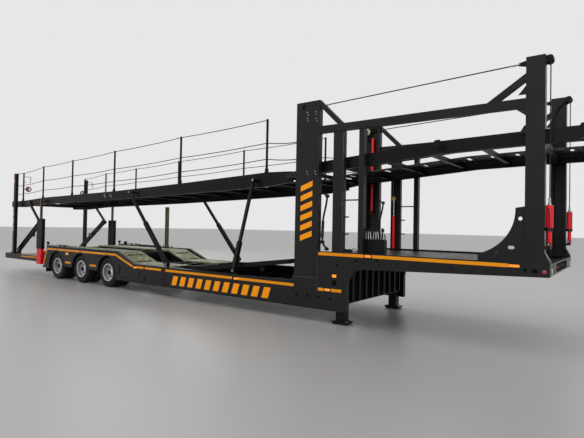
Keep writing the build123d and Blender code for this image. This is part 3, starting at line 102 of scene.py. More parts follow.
@dataclass(frozen=True)
class Layout:
    """Main places on the trailer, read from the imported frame, in metres."""

    half_width: float
    plate_y: float
    pillar_rear_x: float
    pillar_front_x: float
    pillar_top: float
    front_pillar_rear_x: float
    front_pillar_front_x: float
    front_pillar_top: float
    nose_x: float
    rear_end: float
    axle_xs: tuple[float, ...]
    wheel_z: float

    @classmethod
    def from_frame(cls) -> "Layout":
        """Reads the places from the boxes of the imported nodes.

        Returns:
            The layout of the trailer at rest.
        """
        lip_proud, pillar_length, set_back, front_length = 0.005, 0.506, 0.072, 0.234
        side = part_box("side_frame_right")
        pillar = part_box("mid_pillar_right")
        tyres = [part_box(f"tyres_{number}_right") for number in (1, 2, 3)]
        return cls(
            half_width=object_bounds()[1].y,
            plate_y=-side[0].y - lip_proud,
            pillar_rear_x=pillar[1].x - pillar_length,
            pillar_front_x=pillar[1].x,
            pillar_top=pillar[1].z,
            front_pillar_rear_x=side[1].x - set_back - front_length,
            front_pillar_front_x=side[1].x - set_back,
            front_pillar_top=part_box("front_pillar_right")[1].z,
            nose_x=side[1].x,
            rear_end=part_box("rear_extension")[0].x,
            axle_xs=tuple((low.x + high.x) / 2 for low, high in tyres),
            wheel_z=(tyres[0][0].z + tyres[0][1].z) / 2,
        )


class Wiring:
    """Short hand for placing and linking the nodes of one tree."""

    def __init__(self, tree: bpy.types.NodeTree) -> None:
        """Starts on a tree."""
        self.tree = tree

    def add(self, kind: str, settings: dict | None = None, **inputs: object) -> bpy.types.Node:
        """Adds a node and fills its inputs.

        Args:
            kind: The node's type.
            settings: Values of the node's own properties.
            inputs: A socket to link or a value, by i and its number or by its name with _ for a space.

        Returns:
            The new node.
        """
        node = self.tree.nodes.new(kind)
        for name, value in (settings or {}).items():
            setattr(node, name, value)
        for name, value in inputs.items():
            key = name.replace("_", " ")
            socket = node.inputs[int(key[1:])] if key[0] == "i" and key[1:].isdigit() else node.inputs[key]
            if isinstance(value, bpy.types.NodeSocket):
                self.tree.links.new(value, socket)
            elif isinstance(value, tuple) and len(value) == 3 and socket.type == "RGBA":
                socket.default_value = (*value, 1.0)
            else:
                socket.default_value = value
        return node

    def group(self, tree: bpy.types.NodeTree, **inputs: object) -> bpy.types.Node:
        """Adds a shared group, with its inputs filled as add does."""
        return self.add("ShaderNodeGroup", {"node_tree": tree}, **inputs)

    def maths(self, operation: str, first: object, second: object) -> bpy.types.NodeSocket:
        """Adds a clamped Math node and returns its value socket."""
        node = self.add("ShaderNodeMath", {"operation": operation, "use_clamp": True}, i0=first, i1=second)
        return node.outputs[0]

    def mix(self, amount: object, first: object, second: object) -> bpy.types.NodeSocket:
        """Adds a colour Mix node and returns its colour socket."""
        return self.add("ShaderNodeMix", {"data_type": "RGBA"}, i0=amount, i6=first, i7=second).outputs[2]

    def span(
        self, value: object, low: float, high: float, to_low: object, to_high: object
    ) -> bpy.types.NodeSocket:
        """Adds a Map Range node from low..high to to_low..to_high and returns its socket."""
        node = self.add("ShaderNodeMapRange", None, i0=value, i1=low, i2=high, i3=to_low, i4=to_high)
        return node.outputs[0]

    def noise(self, vector: object, scale: float, detail: float) -> bpy.types.NodeSocket:
        """Adds a Noise Texture node and returns its factor socket."""
        return self.add("ShaderNodeTexNoise", None, Vector=vector, Scale=scale, Detail=detail).outputs[0]

    def stretch(self, vector: object, scale: Point) -> bpy.types.NodeSocket:
        """Adds a Mapping node that scales the pattern and returns its socket."""
        return self.add("ShaderNodeMapping", None, Vector=vector, Scale=scale).outputs[0]


def shader_group(
    name: str,
    inputs: Sequence[tuple[str, str, object]],
    outputs: Sequence[tuple[str, str]],
    wire: Callable[[Wiring, Sockets], Sockets],
) -> bpy.types.NodeTree:
    """Makes a shader node group with named sockets.

    Args:
        name: The group's name.
        inputs: Name, socket type and default of each input.
        outputs: Name and socket type of each output.
        wire: Places the nodes and returns the sockets that feed the outputs.

    Returns:
        The group's tree.
    """
    tree = bpy.data.node_groups.new(name, "ShaderNodeTree")
    for label, kind, value in inputs:
        socket = tree.interface.new_socket(label, in_out="INPUT", socket_type=f"NodeSocket{kind}")
        if value is not None:
            socket.default_value = (*value, 1.0) if kind == "Color" else value
    for label, kind in outputs:
        tree.interface.new_socket(label, in_out="OUTPUT", socket_type=f"NodeSocket{kind}")
    start = tree.nodes.new("NodeGroupInput")
    end = tree.nodes.new("NodeGroupOutput")
    made = wire(Wiring(tree), {socket.name: socket for socket in start.outputs if socket.name})
    for label, socket in made.items():
        tree.links.new(socket, end.inputs[label])
    return tree


def wire_road_dust(nodes: Wiring, given: Sockets) -> Sockets:
    """Wires dust that lies on upward faces and thickens in patches.

    Args:
        nodes: The group's wiring.
        given: The group's inputs.

    Returns:
        The dusty colour, and how much dust covers it.
    """
    place = given["Position"]
    geometry = nodes.add("ShaderNodeNewGeometry").outputs
    normal = nodes.add("ShaderNodeSeparateXYZ", None, i0=geometry["Normal"])
    upward = nodes.span(normal.outputs[2], 0.35, 1.0, 0.15, 1.0)
    patches = nodes.span(nodes.noise(place, 2.6, 6.0), 0.38, 0.68, 0.1, 1.0)
    grain = nodes.span(nodes.noise(place, 90.0, 2.0), 0.3, 0.7, 0.6, 1.0)
    cover = nodes.maths("MULTIPLY", nodes.maths("MULTIPLY", upward, patches), grain)
    amount = nodes.maths("MULTIPLY", cover, given["Amount"])
    return {"Colour": nodes.mix(amount, given["Colour"], given["Dust"]), "Cover": amount}


def wire_paint_film(nodes: Wiring, given: Sockets) -> Sockets:
    """Wires a sprayed coat: soft tone changes, small scuffs and an orange-peel height.

    Args:
        nodes: The group's wiring.
        given: The group's inputs.

    Returns:
        The colour, roughness and height of the coat.
    """
    place = given["Position"]
    broad = nodes.span(nodes.noise(place, 1.1, 5.0), 0.35, 0.7, 0.0, 1.0)
    tone = nodes.mix(broad, given["Colour"], given["Faded"])
    scratches = nodes.noise(nodes.stretch(place, (5.0, 5.0, 60.0)), 4.0, 8.0)
    scuffed = nodes.maths("MULTIPLY", nodes.span(scratches, 0.62, 0.72, 0.0, 1.0), given["Scuffs"])
    peel = nodes.maths("MULTIPLY", nodes.noise(place, 380.0, 1.0), 0.12)
    ripple = nodes.maths("MULTIPLY", nodes.noise(place, 7.0, 2.0), 0.8)
    return {
        "Colour": nodes.mix(scuffed, tone, given["Bare"]),
        "Roughness": nodes.span(nodes.noise(place, 14.0, 4.0), 0.3, 0.75, given["Gloss"], given["Dull"]),
        "Height": nodes.maths("ADD", peel, ripple),
    }


def wire_spangle(nodes: Wiring, given: Sockets) -> Sockets:
    """Wires zinc crystals with stains, and a grid of raised anti-slip dimples whose middles are darkened as
    painted shade.

    Args:
        nodes: The group's wiring.
        given: The group's inputs.

    Returns:
        The colour, roughness and height of the zinc.
    """
    place = given["Position"]
    cells = nodes.add("ShaderNodeTexVoronoi", None, Vector=place, Scale=given["Crystals"])
    facets = nodes.add("ShaderNodeSeparateColor", None, i0=cells.outputs["Color"]).outputs[0]
    shade = nodes.maths("MULTIPLY", facets, nodes.span(nodes.noise(place, 9.0, 3.0), 0.35, 0.6, 0.35, 1.0))
    metal = nodes.mix(shade, given["Dark zinc"], given["Light zinc"])
    stains = nodes.span(nodes.noise(place, 3.4, 7.0), 0.42, 0.62, 0.0, 0.9)
    # The dimples raise the height and darken their middles towards a dark grey as painted shade
    dimples = nodes.add("ShaderNodeTexVoronoi", None, Vector=place, Scale=32.0, Randomness=0.0)
    raised = nodes.span(dimples.outputs["Distance"], 0.18, 0.42, 1.0, 0.0)
    stained = nodes.mix(stains, metal, given["Stain"])
    return {
        "Colour": nodes.mix(nodes.maths("MULTIPLY", raised, 0.45), stained, given["Hollow"]),
        "Roughness": nodes.span(shade, 0.0, 1.0, 0.62, 0.38),
        "Height": raised,
    }


def wire_brushed(nodes: Wiring, given: Sockets) -> Sockets:
    """Wires fine turned lines along one direction with a film of oil.

    Args:
        nodes: The group's wiring.
        given: The group's inputs.

    Returns:
        The colour, roughness and height of the metal.
    """
    grain = nodes.noise(nodes.stretch(given["Position"], (40.0, 40.0, 900.0)), 1.0, 2.0)
    oil = nodes.span(nodes.noise(given["Position"], 12.0, 4.0), 0.4, 0.7, 0.0, 0.6)
    return {
        "Colour": nodes.mix(oil, nodes.mix(grain, given["Colour"], given["Light"]), given["Oil"]),
        "Roughness": nodes.span(grain, 0.2, 0.8, given["Gloss"], given["Dull"]),
        "Height": grain,
    }


def grey(level: float) -> Colour:
    """A colour with the same level in all three channels."""
    return level, level, level


class Effects:
    """The shader node groups that several finishes share."""

    def __init__(self) -> None:
        """Builds each group once."""
        place = ("Position", "Vector", None)
        tone = ("Colour", "Color", grey(0.5))
        shine = [("Gloss", "Float", 0.2), ("Dull", "Float", 0.5)]
        shown = [("Colour", "Color"), ("Roughness", "Float"), ("Height", "Float")]
        dust = [place, tone, ("Dust", "Color", grey(0.3)), ("Amount", "Float", 0.3)]
        self.dust = shader_group(
            "road dust", dust, [("Colour", "Color"), ("Cover", "Float")], wire_road_dust
        )
        wear = [("Faded", "Color", grey(0.6)), ("Bare", "Color", grey(0.3)), ("Scuffs", "Float", 0.3)]
        self.film = shader_group("paint film", [place, tone, *wear, *shine], shown, wire_paint_film)
        zinc = [(name, "Color", grey(0.3)) for name in ("Dark zinc", "Light zinc", "Stain")]
        spangle = [place, ("Crystals", "Float", 26.0), *zinc, ("Hollow", "Color", grey(0.05))]
        self.spangle = shader_group("zinc spangle", spangle, shown, wire_spangle)
        brushed = [place, tone, ("Light", "Color", grey(0.8)), ("Oil", "Color", grey(0.1)), *shine]
        self.brushed = shader_group("brushed lines", brushed, shown, wire_brushed)


@dataclass(frozen=True)
class Finish:
    """A sprayed, moulded or stuck-on finish with its colours and how worn it is."""

    name: str
    slot: str
    colour: Colour
    faded: Colour
    gloss: float
    dull: float
    metallic: float = 0.0
    coat: float = 0.0
    scuffs: float = 0.15
    bare: Colour = (0.14, 0.14, 0.145)
    dust: float = 0.35
    dust_colour: Colour = (0.17, 0.165, 0.15)
    bump: float = 0.05
    glow: float = 0.0
    specular: float = 0.5

    def pattern(self, nodes: Wiring, effects: Effects, place: bpy.types.NodeSocket) -> bpy.types.Node:
        """Adds the group that draws this kind of surface.

        Args:
            nodes: The material's wiring.
            effects: The shared groups.
            place: The object's coordinates.

        Returns:
            The group node, with Colour, Roughness and Height outputs.
        """
        return nodes.group(
            effects.film, Position=place, Colour=self.colour, Faded=self.faded, Bare=self.bare,
            Scuffs=self.scuffs, Gloss=self.gloss, Dull=self.dull,
        )

    def material(self, effects: Effects) -> bpy.types.Material:
        """Builds the material.

        Args:
            effects: The shared groups.

        Returns:
            The finished material.
        """
        material = bpy.data.materials.new(self.name)
        material.use_nodes = True
        nodes = Wiring(material.node_tree)
        place = nodes.add("ShaderNodeTexCoord").outputs["Object"]
        surface = self.pattern(nodes, effects, place).outputs
        dusty = nodes.group(
            effects.dust, Position=place, Colour=surface["Colour"], Dust=self.dust_colour, Amount=self.dust
        ).outputs
        bump = nodes.add(
            "ShaderNodeBump", None, Strength=self.bump, Distance=0.004, Height=surface["Height"]
        )
        rough = nodes.maths("ADD", surface["Roughness"], nodes.maths("MULTIPLY", dusty["Cover"], 0.6))
        shader = material.node_tree.nodes["Principled BSDF"]
        shader.inputs["Metallic"].default_value = self.metallic
        shader.inputs["Coat Weight"].default_value = self.coat
        shader.inputs["Coat Roughness"].default_value = 0.12
        shader.inputs["Specular IOR Level"].default_value = self.specular
        links = material.node_tree.links
        links.new(dusty["Colour"], shader.inputs["Base Color"])
        links.new(rough, shader.inputs["Roughness"])
        links.new(bump.outputs[0], shader.inputs["Normal"])
        if self.glow:
            links.new(surface["Colour"], shader.inputs["Emission Color"])
            shader.inputs["Emission Strength"].default_value = self.glow
        return material


@dataclass(frozen=True)
class MetalFinish(Finish):
    """A bare, turned or drawn metal: faded is its light lines, bare its oil."""

    def pattern(self, nodes: Wiring, effects: Effects, place: bpy.types.NodeSocket) -> bpy.types.Node:
        """Adds the brushed group; see Finish.pattern."""
        return nodes.group(
            effects.brushed, Position=place, Colour=self.colour, Light=self.faded, Oil=self.bare,
            Gloss=self.gloss, Dull=self.dull,
        )


@dataclass(frozen=True)
class ZincFinish(Finish):
    """Hot-dip zinc on the wheel lanes: faded is its light crystals, bare its stains."""

    def pattern(self, nodes: Wiring, effects: Effects, place: bpy.types.NodeSocket) -> bpy.types.Node:
        """Adds the spangle group; see Finish.pattern."""
        return nodes.group(
            effects.spangle, Position=place, Stain=self.bare, Dark_zinc=self.colour, Light_zinc=self.faded
        )


FAINT_DUST = (0.06, 0.058, 0.054)

# Name, slot, colour, faded colour, lowest and highest roughness
FINISHES = [
    Finish(
        "charcoal paint", "frame_paint", (0.0085, 0.0085, 0.0088), (0.013, 0.013, 0.0134), 0.24, 0.40,
        bare=grey(0.045), dust=0.22, dust_colour=FAINT_DUST, specular=0.2,
    ),
    Finish(
        "black paint", "black_paint", (0.003, 0.003, 0.0032), (0.0055, 0.0055, 0.0058), 0.3, 0.48,
        bare=grey(0.03), dust=0.18, dust_colour=(0.035, 0.034, 0.031), specular=0.15,
    ),
    Finish(
        "silver wheel paint", "rim_silver", (0.60, 0.61, 0.62), (0.68, 0.69, 0.70), 0.26, 0.4, metallic=0.3,
        coat=0.2, dust=0.12,
    ),
    Finish(
        "tyre rubber", "tyre_rubber", grey(0.0065), (0.012, 0.012, 0.0118), 0.6, 0.82, scuffs=0.25,
        bare=(0.03, 0.029, 0.027), dust=0.3, dust_colour=(0.08, 0.077, 0.07), bump=0.25, specular=0.3,
    ),
    Finish(
        "soft rubber", "soft_rubber", grey(0.006), grey(0.011), 0.5, 0.75, scuffs=0.1, dust=0.2,
        dust_colour=FAINT_DUST, bump=0.2, specular=0.3,
    ),
    Finish(
        "red paint", "red_paint", (0.78, 0.003, 0.010), (0.62, 0.004, 0.010), 0.2, 0.36, coat=0.1, dust=0.05,
        specular=0.3,
    ),
    Finish("brown paint", "prop_steel", (0.085, 0.058, 0.034), (0.14, 0.10, 0.062), 0.45, 0.7, scuffs=0.5),
    Finish("rusty steel", "prop_steel", (0.05, 0.026, 0.014), (0.10, 0.05, 0.028), 0.55, 0.8, scuffs=0.4),
    Finish(
        "orange tape", "tape_orange", (0.80, 0.29, 0.002), (0.70, 0.24, 0.002), 0.3, 0.46, scuffs=0.05,
        dust=0.04, specular=0.2,
    ),
    Finish(
        "orange marking", "tape_orange", (0.95, 0.33, 0.002), (0.88, 0.30, 0.002), 0.3, 0.45, scuffs=0.04,
        dust=0.03, specular=0.2,
    ),
    Finish(
        "lamp lens", "lamp_amber", (0.95, 0.24, 0.008), (0.95, 0.32, 0.015), 0.1, 0.2, coat=0.8, scuffs=0.02,
        dust=0.08, bump=0.3, glow=0.45,
    ),
    Finish(
        "red lens", "lamp_red", (0.30, 0.004, 0.004), (0.40, 0.008, 0.006), 0.1, 0.2, coat=0.8, scuffs=0.02,
        dust=0.1, bump=0.3,
    ),
    Finish("white paint", "cream_plastic", (0.72, 0.72, 0.70), (0.62, 0.62, 0.60), 0.3, 0.5, dust=0.15),
    Finish("yellow cap", "cap_yellow", (0.75, 0.5, 0.02), (0.6, 0.4, 0.03), 0.35, 0.5, dust=0.2),
    Finish("cream plastic", "cream_plastic", (0.5, 0.46, 0.36), (0.42, 0.38, 0.3), 0.35, 0.55, dust=0.2),
    # Near-black for holes, slots and recesses: painted shade inside them; also the dark rubber of small plugs
    # and studs
    Finish(
        "dark recess", "soft_rubber", grey(0.0015), grey(0.002), 0.6, 0.8, scuffs=0.0, dust=0.05,
        specular=0.05,
    ),
    # Light grey for thin edge strips: partly edge wear, partly painted highlight along lit edges such as the
    # arch lips and pillar seams
    Finish("worn edge", "frame_paint", grey(0.055), grey(0.09), 0.3, 0.45, scuffs=0.3, dust=0.2),
    # Darker grey than the silver rim: the disc's own grey with painted shade of the rim's hollow
    Finish(
        "wheel disc", "rim_silver", (0.13, 0.13, 0.135), (0.18, 0.18, 0.185), 0.35, 0.5, metallic=0.3,
        dust=0.25,
    ),
    MetalFinish(
        "oiled rod", "chromed", (0.085, 0.052, 0.034), (0.17, 0.11, 0.075), 0.2, 0.35, metallic=0.7,
        bare=(0.03, 0.02, 0.015), dust=0.1, bump=0.02,
    ),
    # Dark zinc ribs under the upper lanes: painted shade, with golden lighter patches as painted glints
    Finish(
        "lane underside", "galvanised", (0.055, 0.052, 0.036), (0.10, 0.094, 0.062), 0.3, 0.45, metallic=0.5,
        dust=0.1,
    ),
    MetalFinish(
        "machined steel", "bare_steel", (0.32, 0.32, 0.33), (0.5, 0.5, 0.51), 0.22, 0.42, metallic=1.0,
        bare=(0.1, 0.09, 0.07), dust=0.2,
    ),
    MetalFinish(
        "wire rope", "wire_rope", (0.02, 0.02, 0.021), (0.05, 0.05, 0.052), 0.4, 0.6, metallic=0.8,
        bare=grey(0.01), dust=0.2, bump=0.4,
    ),
    ZincFinish(
        "galvanised lane", "galvanised", (0.105, 0.115, 0.060), (0.46, 0.48, 0.31), 0.4, 0.6, metallic=0.35,
        bare=(0.14, 0.165, 0.055), dust=0.08, bump=0.6,
    ),
    # Near-black zinc for the upper lanes and the trays: painted shade under the decks
    ZincFinish(
        "dark zinc lane", "galvanised", (0.012, 0.012, 0.011), (0.065, 0.062, 0.046), 0.4, 0.6, metallic=0.4,
        bare=(0.013, 0.013, 0.010), dust=0.1, bump=0.5,
    ),
]


class Palette:
    """Materials by the name of their finish."""

    def __init__(self, effects: Effects) -> None:
        """Builds every finish.

        Args:
            effects: The shared groups.
        """
        self.slots = {finish.name: finish.slot for finish in FINISHES}
        self.recorded = {row["slot"] for row in frame["record"]["materials"]}
        self.materials = {finish.name: finish.material(effects) for finish in FINISHES}

    def dress(self, piece: bpy.types.Object, name: str) -> None:
        """Gives a piece one material all over."""
        piece.data.materials.clear()
        piece.data.materials.append(self.materials[name])


class Shape:
    """A mesh under construction, made by bmesh operators and placed as one piece."""

    smooth_angle = math.radians(32)

    def __init__(self) -> None:
        """Starts an empty mesh."""
        self.mesh = bmesh.new()
        self.origin = Vector()

    def at(self, x: float, y: float, z: float) -> "Shape":
        """Moves the origin from which the next places are given, and returns the shape."""
        self.origin = Vector((x, y, z))
        return self

    def box(self, low: Point, high: Point, bevel: float = 0.0) -> None:
        """Adds a box.

        Args:
            low: Lowest corner.
            high: Highest corner.
            bevel: Width of its bevelled edges.
        """
        size = [abs(top - bottom) for bottom, top in zip(low, high)]
        middle = self.origin + (Vector(low) + Vector(high)) / 2
        place = Matrix.Translation(middle) @ Matrix.Diagonal((*size, 1.0))
        made = bmesh.ops.create_cube(self.mesh, size=1.0, matrix=place)
        if bevel:
            edges = list({edge for vert in made["verts"] for edge in vert.link_edges})
            bmesh.ops.bevel(
                self.mesh, geom=edges, offset=bevel, segments=2, affect="EDGES", profile=0.5, material=-1
            )

    def rod(
        self, start: Point, end: Point, radius: float, segments: int = 16, end_radius: float | None = None
    ) -> None:
        """Adds a round rod or cone.

        Args:
            start: Centre of the first face.
            end: Centre of the last face.
            radius: Radius at the start.
            segments: Sides.
            end_radius: Radius at the end, the same as at the start if left out.
        """
        first, last = self.origin + Vector(start), self.origin + Vector(end)
        turn = (last - first).to_track_quat("Z", "Y").to_matrix().to_4x4()
        bmesh.ops.create_cone(
            self.mesh, cap_ends=True, segments=segments, radius1=radius,
            radius2=radius if end_radius is None else end_radius, depth=(last - first).length,
            matrix=Matrix.Translation((first + last) / 2) @ turn,
        )

    def bar(self, axis: Axis, start: float, end: float, *section: float) -> None:
        """Adds a rod along an axis through the origin, with the section that rod takes."""
        self.rod(Vector(axis.value) * start, Vector(axis.value) * end, *section)

    def bolt(self, size: float, axis: Axis = Axis.Y, sign: float = -1) -> None:
        """Adds a hexagonal head on its washer, seated at the origin.

        Args:
            size: Radius of the head.
            axis: Direction of the bolt.
            sign: 1 or -1, the way the head points.
        """
        self.bar(axis, 0.0, sign * 0.2 * size, 1.5 * size, 12)
        self.bar(axis, sign * 0.2 * size, sign * size, size, 6)

    def lathe(self, profile: Outline, axis: Axis = Axis.Y, steps: int = 24, sign: float = -1) -> None:
        """Adds a turned shape by spinning a closed profile about the origin.

        Args:
            profile: Radius and distance along the axis of each corner.
            axis: The axis of the turn.
            steps: Sides of the turn.
            sign: 1 or -1, the way the distances run.
        """
        along = Vector(axis.value) * sign
        across = Vector((0.0, 0.0, 1.0)) if axis is not Axis.Z else Vector((1.0, 0.0, 0.0))
        verts = [self.mesh.verts.new(self.origin + across * radius + along * far) for radius, far in profile]
        edges = [self.mesh.edges.new(ends) for ends in zip(verts, verts[1:] + verts[:1])]
        bmesh.ops.spin(
            self.mesh, geom=verts + edges, cent=self.origin, axis=axis.value, angle=math.tau, steps=steps,
            use_merge=True, use_duplicate=False,
        )

    def slab(self, corners: Sequence[Point], thickness: Point) -> None:
        """Adds a flat face and draws it out into a slab.

        Args:
            corners: The face's corners.
            thickness: How far and which way it is drawn out.
        """
        face = self.mesh.faces.new([self.mesh.verts.new(self.origin + Vector(corner)) for corner in corners])
        made = bmesh.ops.extrude_face_region(self.mesh, geom=[face])
        moved = [item for item in made["geom"] if isinstance(item, bmesh.types.BMVert)]
        bmesh.ops.translate(self.mesh, verts=moved, vec=thickness)

    def plate(self, outline: Outline, low_y: float, high_y: float) -> None:
        """Adds a plate that stands along XZ, between two places across the trailer."""
        self.slab([(x, low_y, z) for x, z in outline], (0.0, high_y - low_y, 0.0))

    def pipe(self, points: Sequence[Point], radius: float, resolution: int = 2) -> None:
        """Adds a smooth round pipe.

        Args:
            points: Control points of its line.
            radius: Outer radius.
            resolution: Sides of a quarter of its section.
        """
        curve = bpy.data.curves.new("pipe line", "CURVE")
        curve.dimensions = "3D"
        curve.bevel_depth = radius
        curve.bevel_resolution = resolution
        curve.resolution_u = 6
        curve.use_fill_caps = True
        spline = curve.splines.new("NURBS")
        spline.points.add(len(points) - 1)
        for point, place in zip(spline.points, points):
            point.co = (*(self.origin + Vector(place)), 1.0)
        spline.order_u = 3
        spline.use_endpoint_u = True
        holder = bpy.data.objects.new("pipe line", curve)
        mesh = bpy.data.meshes.new_from_object(holder)
        self.mesh.from_mesh(mesh)
        bpy.data.objects.remove(holder)
        bpy.data.curves.remove(curve)
        bpy.data.meshes.remove(mesh)

    def mirrored(self) -> None:
        """Adds the mirror image on the other side of the trailer."""
        geometry = self.mesh.verts[:] + self.mesh.edges[:] + self.mesh.faces[:]
        made = bmesh.ops.duplicate(self.mesh, geom=geometry)
        verts = [item for item in made["geom"] if isinstance(item, bmesh.types.BMVert)]
        bmesh.ops.scale(self.mesh, verts=verts, vec=(1.0, -1.0, 1.0))

    def place(self, name: str, palette: Palette, finish: str, body: str = "chassis") -> bpy.types.Object:
        """Finishes the mesh as one piece of the trailer.

        Args:
            name: The piece's name.
            palette: The materials.
            finish: The finish that it takes.
            body: The CAD body that it rides on.

        Returns:
            The piece's object.
        """
        bmesh.ops.remove_doubles(self.mesh, verts=self.mesh.verts[:], dist=0.00001)
        bmesh.ops.recalc_face_normals(self.mesh, faces=self.mesh.faces[:])
        mesh = bpy.data.meshes.new(name)
        self.mesh.to_mesh(mesh)
        self.mesh.free()
        mesh.shade_smooth()
        mesh.set_sharp_from_angle(angle=self.smooth_angle)
        piece = bpy.data.objects.new(name, mesh)
        bpy.context.scene.collection.objects.link(piece)
        palette.dress(piece, finish)
        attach(piece, body)
        log.info("%s: %d faces on %s", name, len(mesh.polygons), body)
        return piece


def scaled(profile: Outline, radius: float) -> list[Flat]:
    """A profile whose radii are given as shares of one radius."""
    return [(share * radius, far) for share, far in profile]


def circle(count: int, radius: float, phase: float = 0.0) -> list[Flat]:
    """X and Z of places spread evenly on a circle, the first a share of a step on from +X."""
    turns = [math.tau * (step + phase) / count for step in range(count)]
    return [(radius * math.cos(turn), radius * math.sin(turn)) for turn in turns]


def stations(node: str, gap: float = 0.3) -> list[tuple[Vector, Vector]]:
    """Finds the places along the trailer where a node's right-hand pieces stand.

    Args:
        node: Name of the CAD node.
        gap: Free length along X that parts one place from the next.

    Returns:
        Lowest and highest corner of each group, from the rear to the front.
    """
    right = (vert.co for vert in frame["nodes"][node].data.vertices if vert.co.y < 0)
    points = sorted(right, key=lambda point: point.x)
    groups = [[points[0]]]
    for point in points[1:]:
        if point.x - groups[-1][-1].x > gap:
            groups.append([])
        groups[-1].append(point)
    columns = [list(zip(*group)) for group in groups]
    return [(Vector([min(axis) for axis in axes]), Vector([max(axis) for axis in axes])) for axes in columns]


@dataclass
class Assembly:
    """Fittings that share the trailer's layout and materials; their sizes are of the right side."""

    layout: Layout
    palette: Palette

    @property
    def plate_face(self) -> float:
        """Y of the right side plate's outer face."""
        return -self.layout.plate_y

    @property
    def flank(self) -> float:
        """Y of the trailer's right-hand limit, on which its pillars stand."""
        return -self.layout.half_width

    def pair(self, shape: Shape, name: str, finish: str, body: str = "chassis") -> None:
        """Places a right-hand shape with its mirror image as one piece.

        Args:
            shape: The mesh of the right side.
            name: The piece's name.
            finish: The finish that it takes.
            body: The CAD body that it rides on.
        """
        shape.mirrored()
        shape.place(name, self.palette, finish, body)


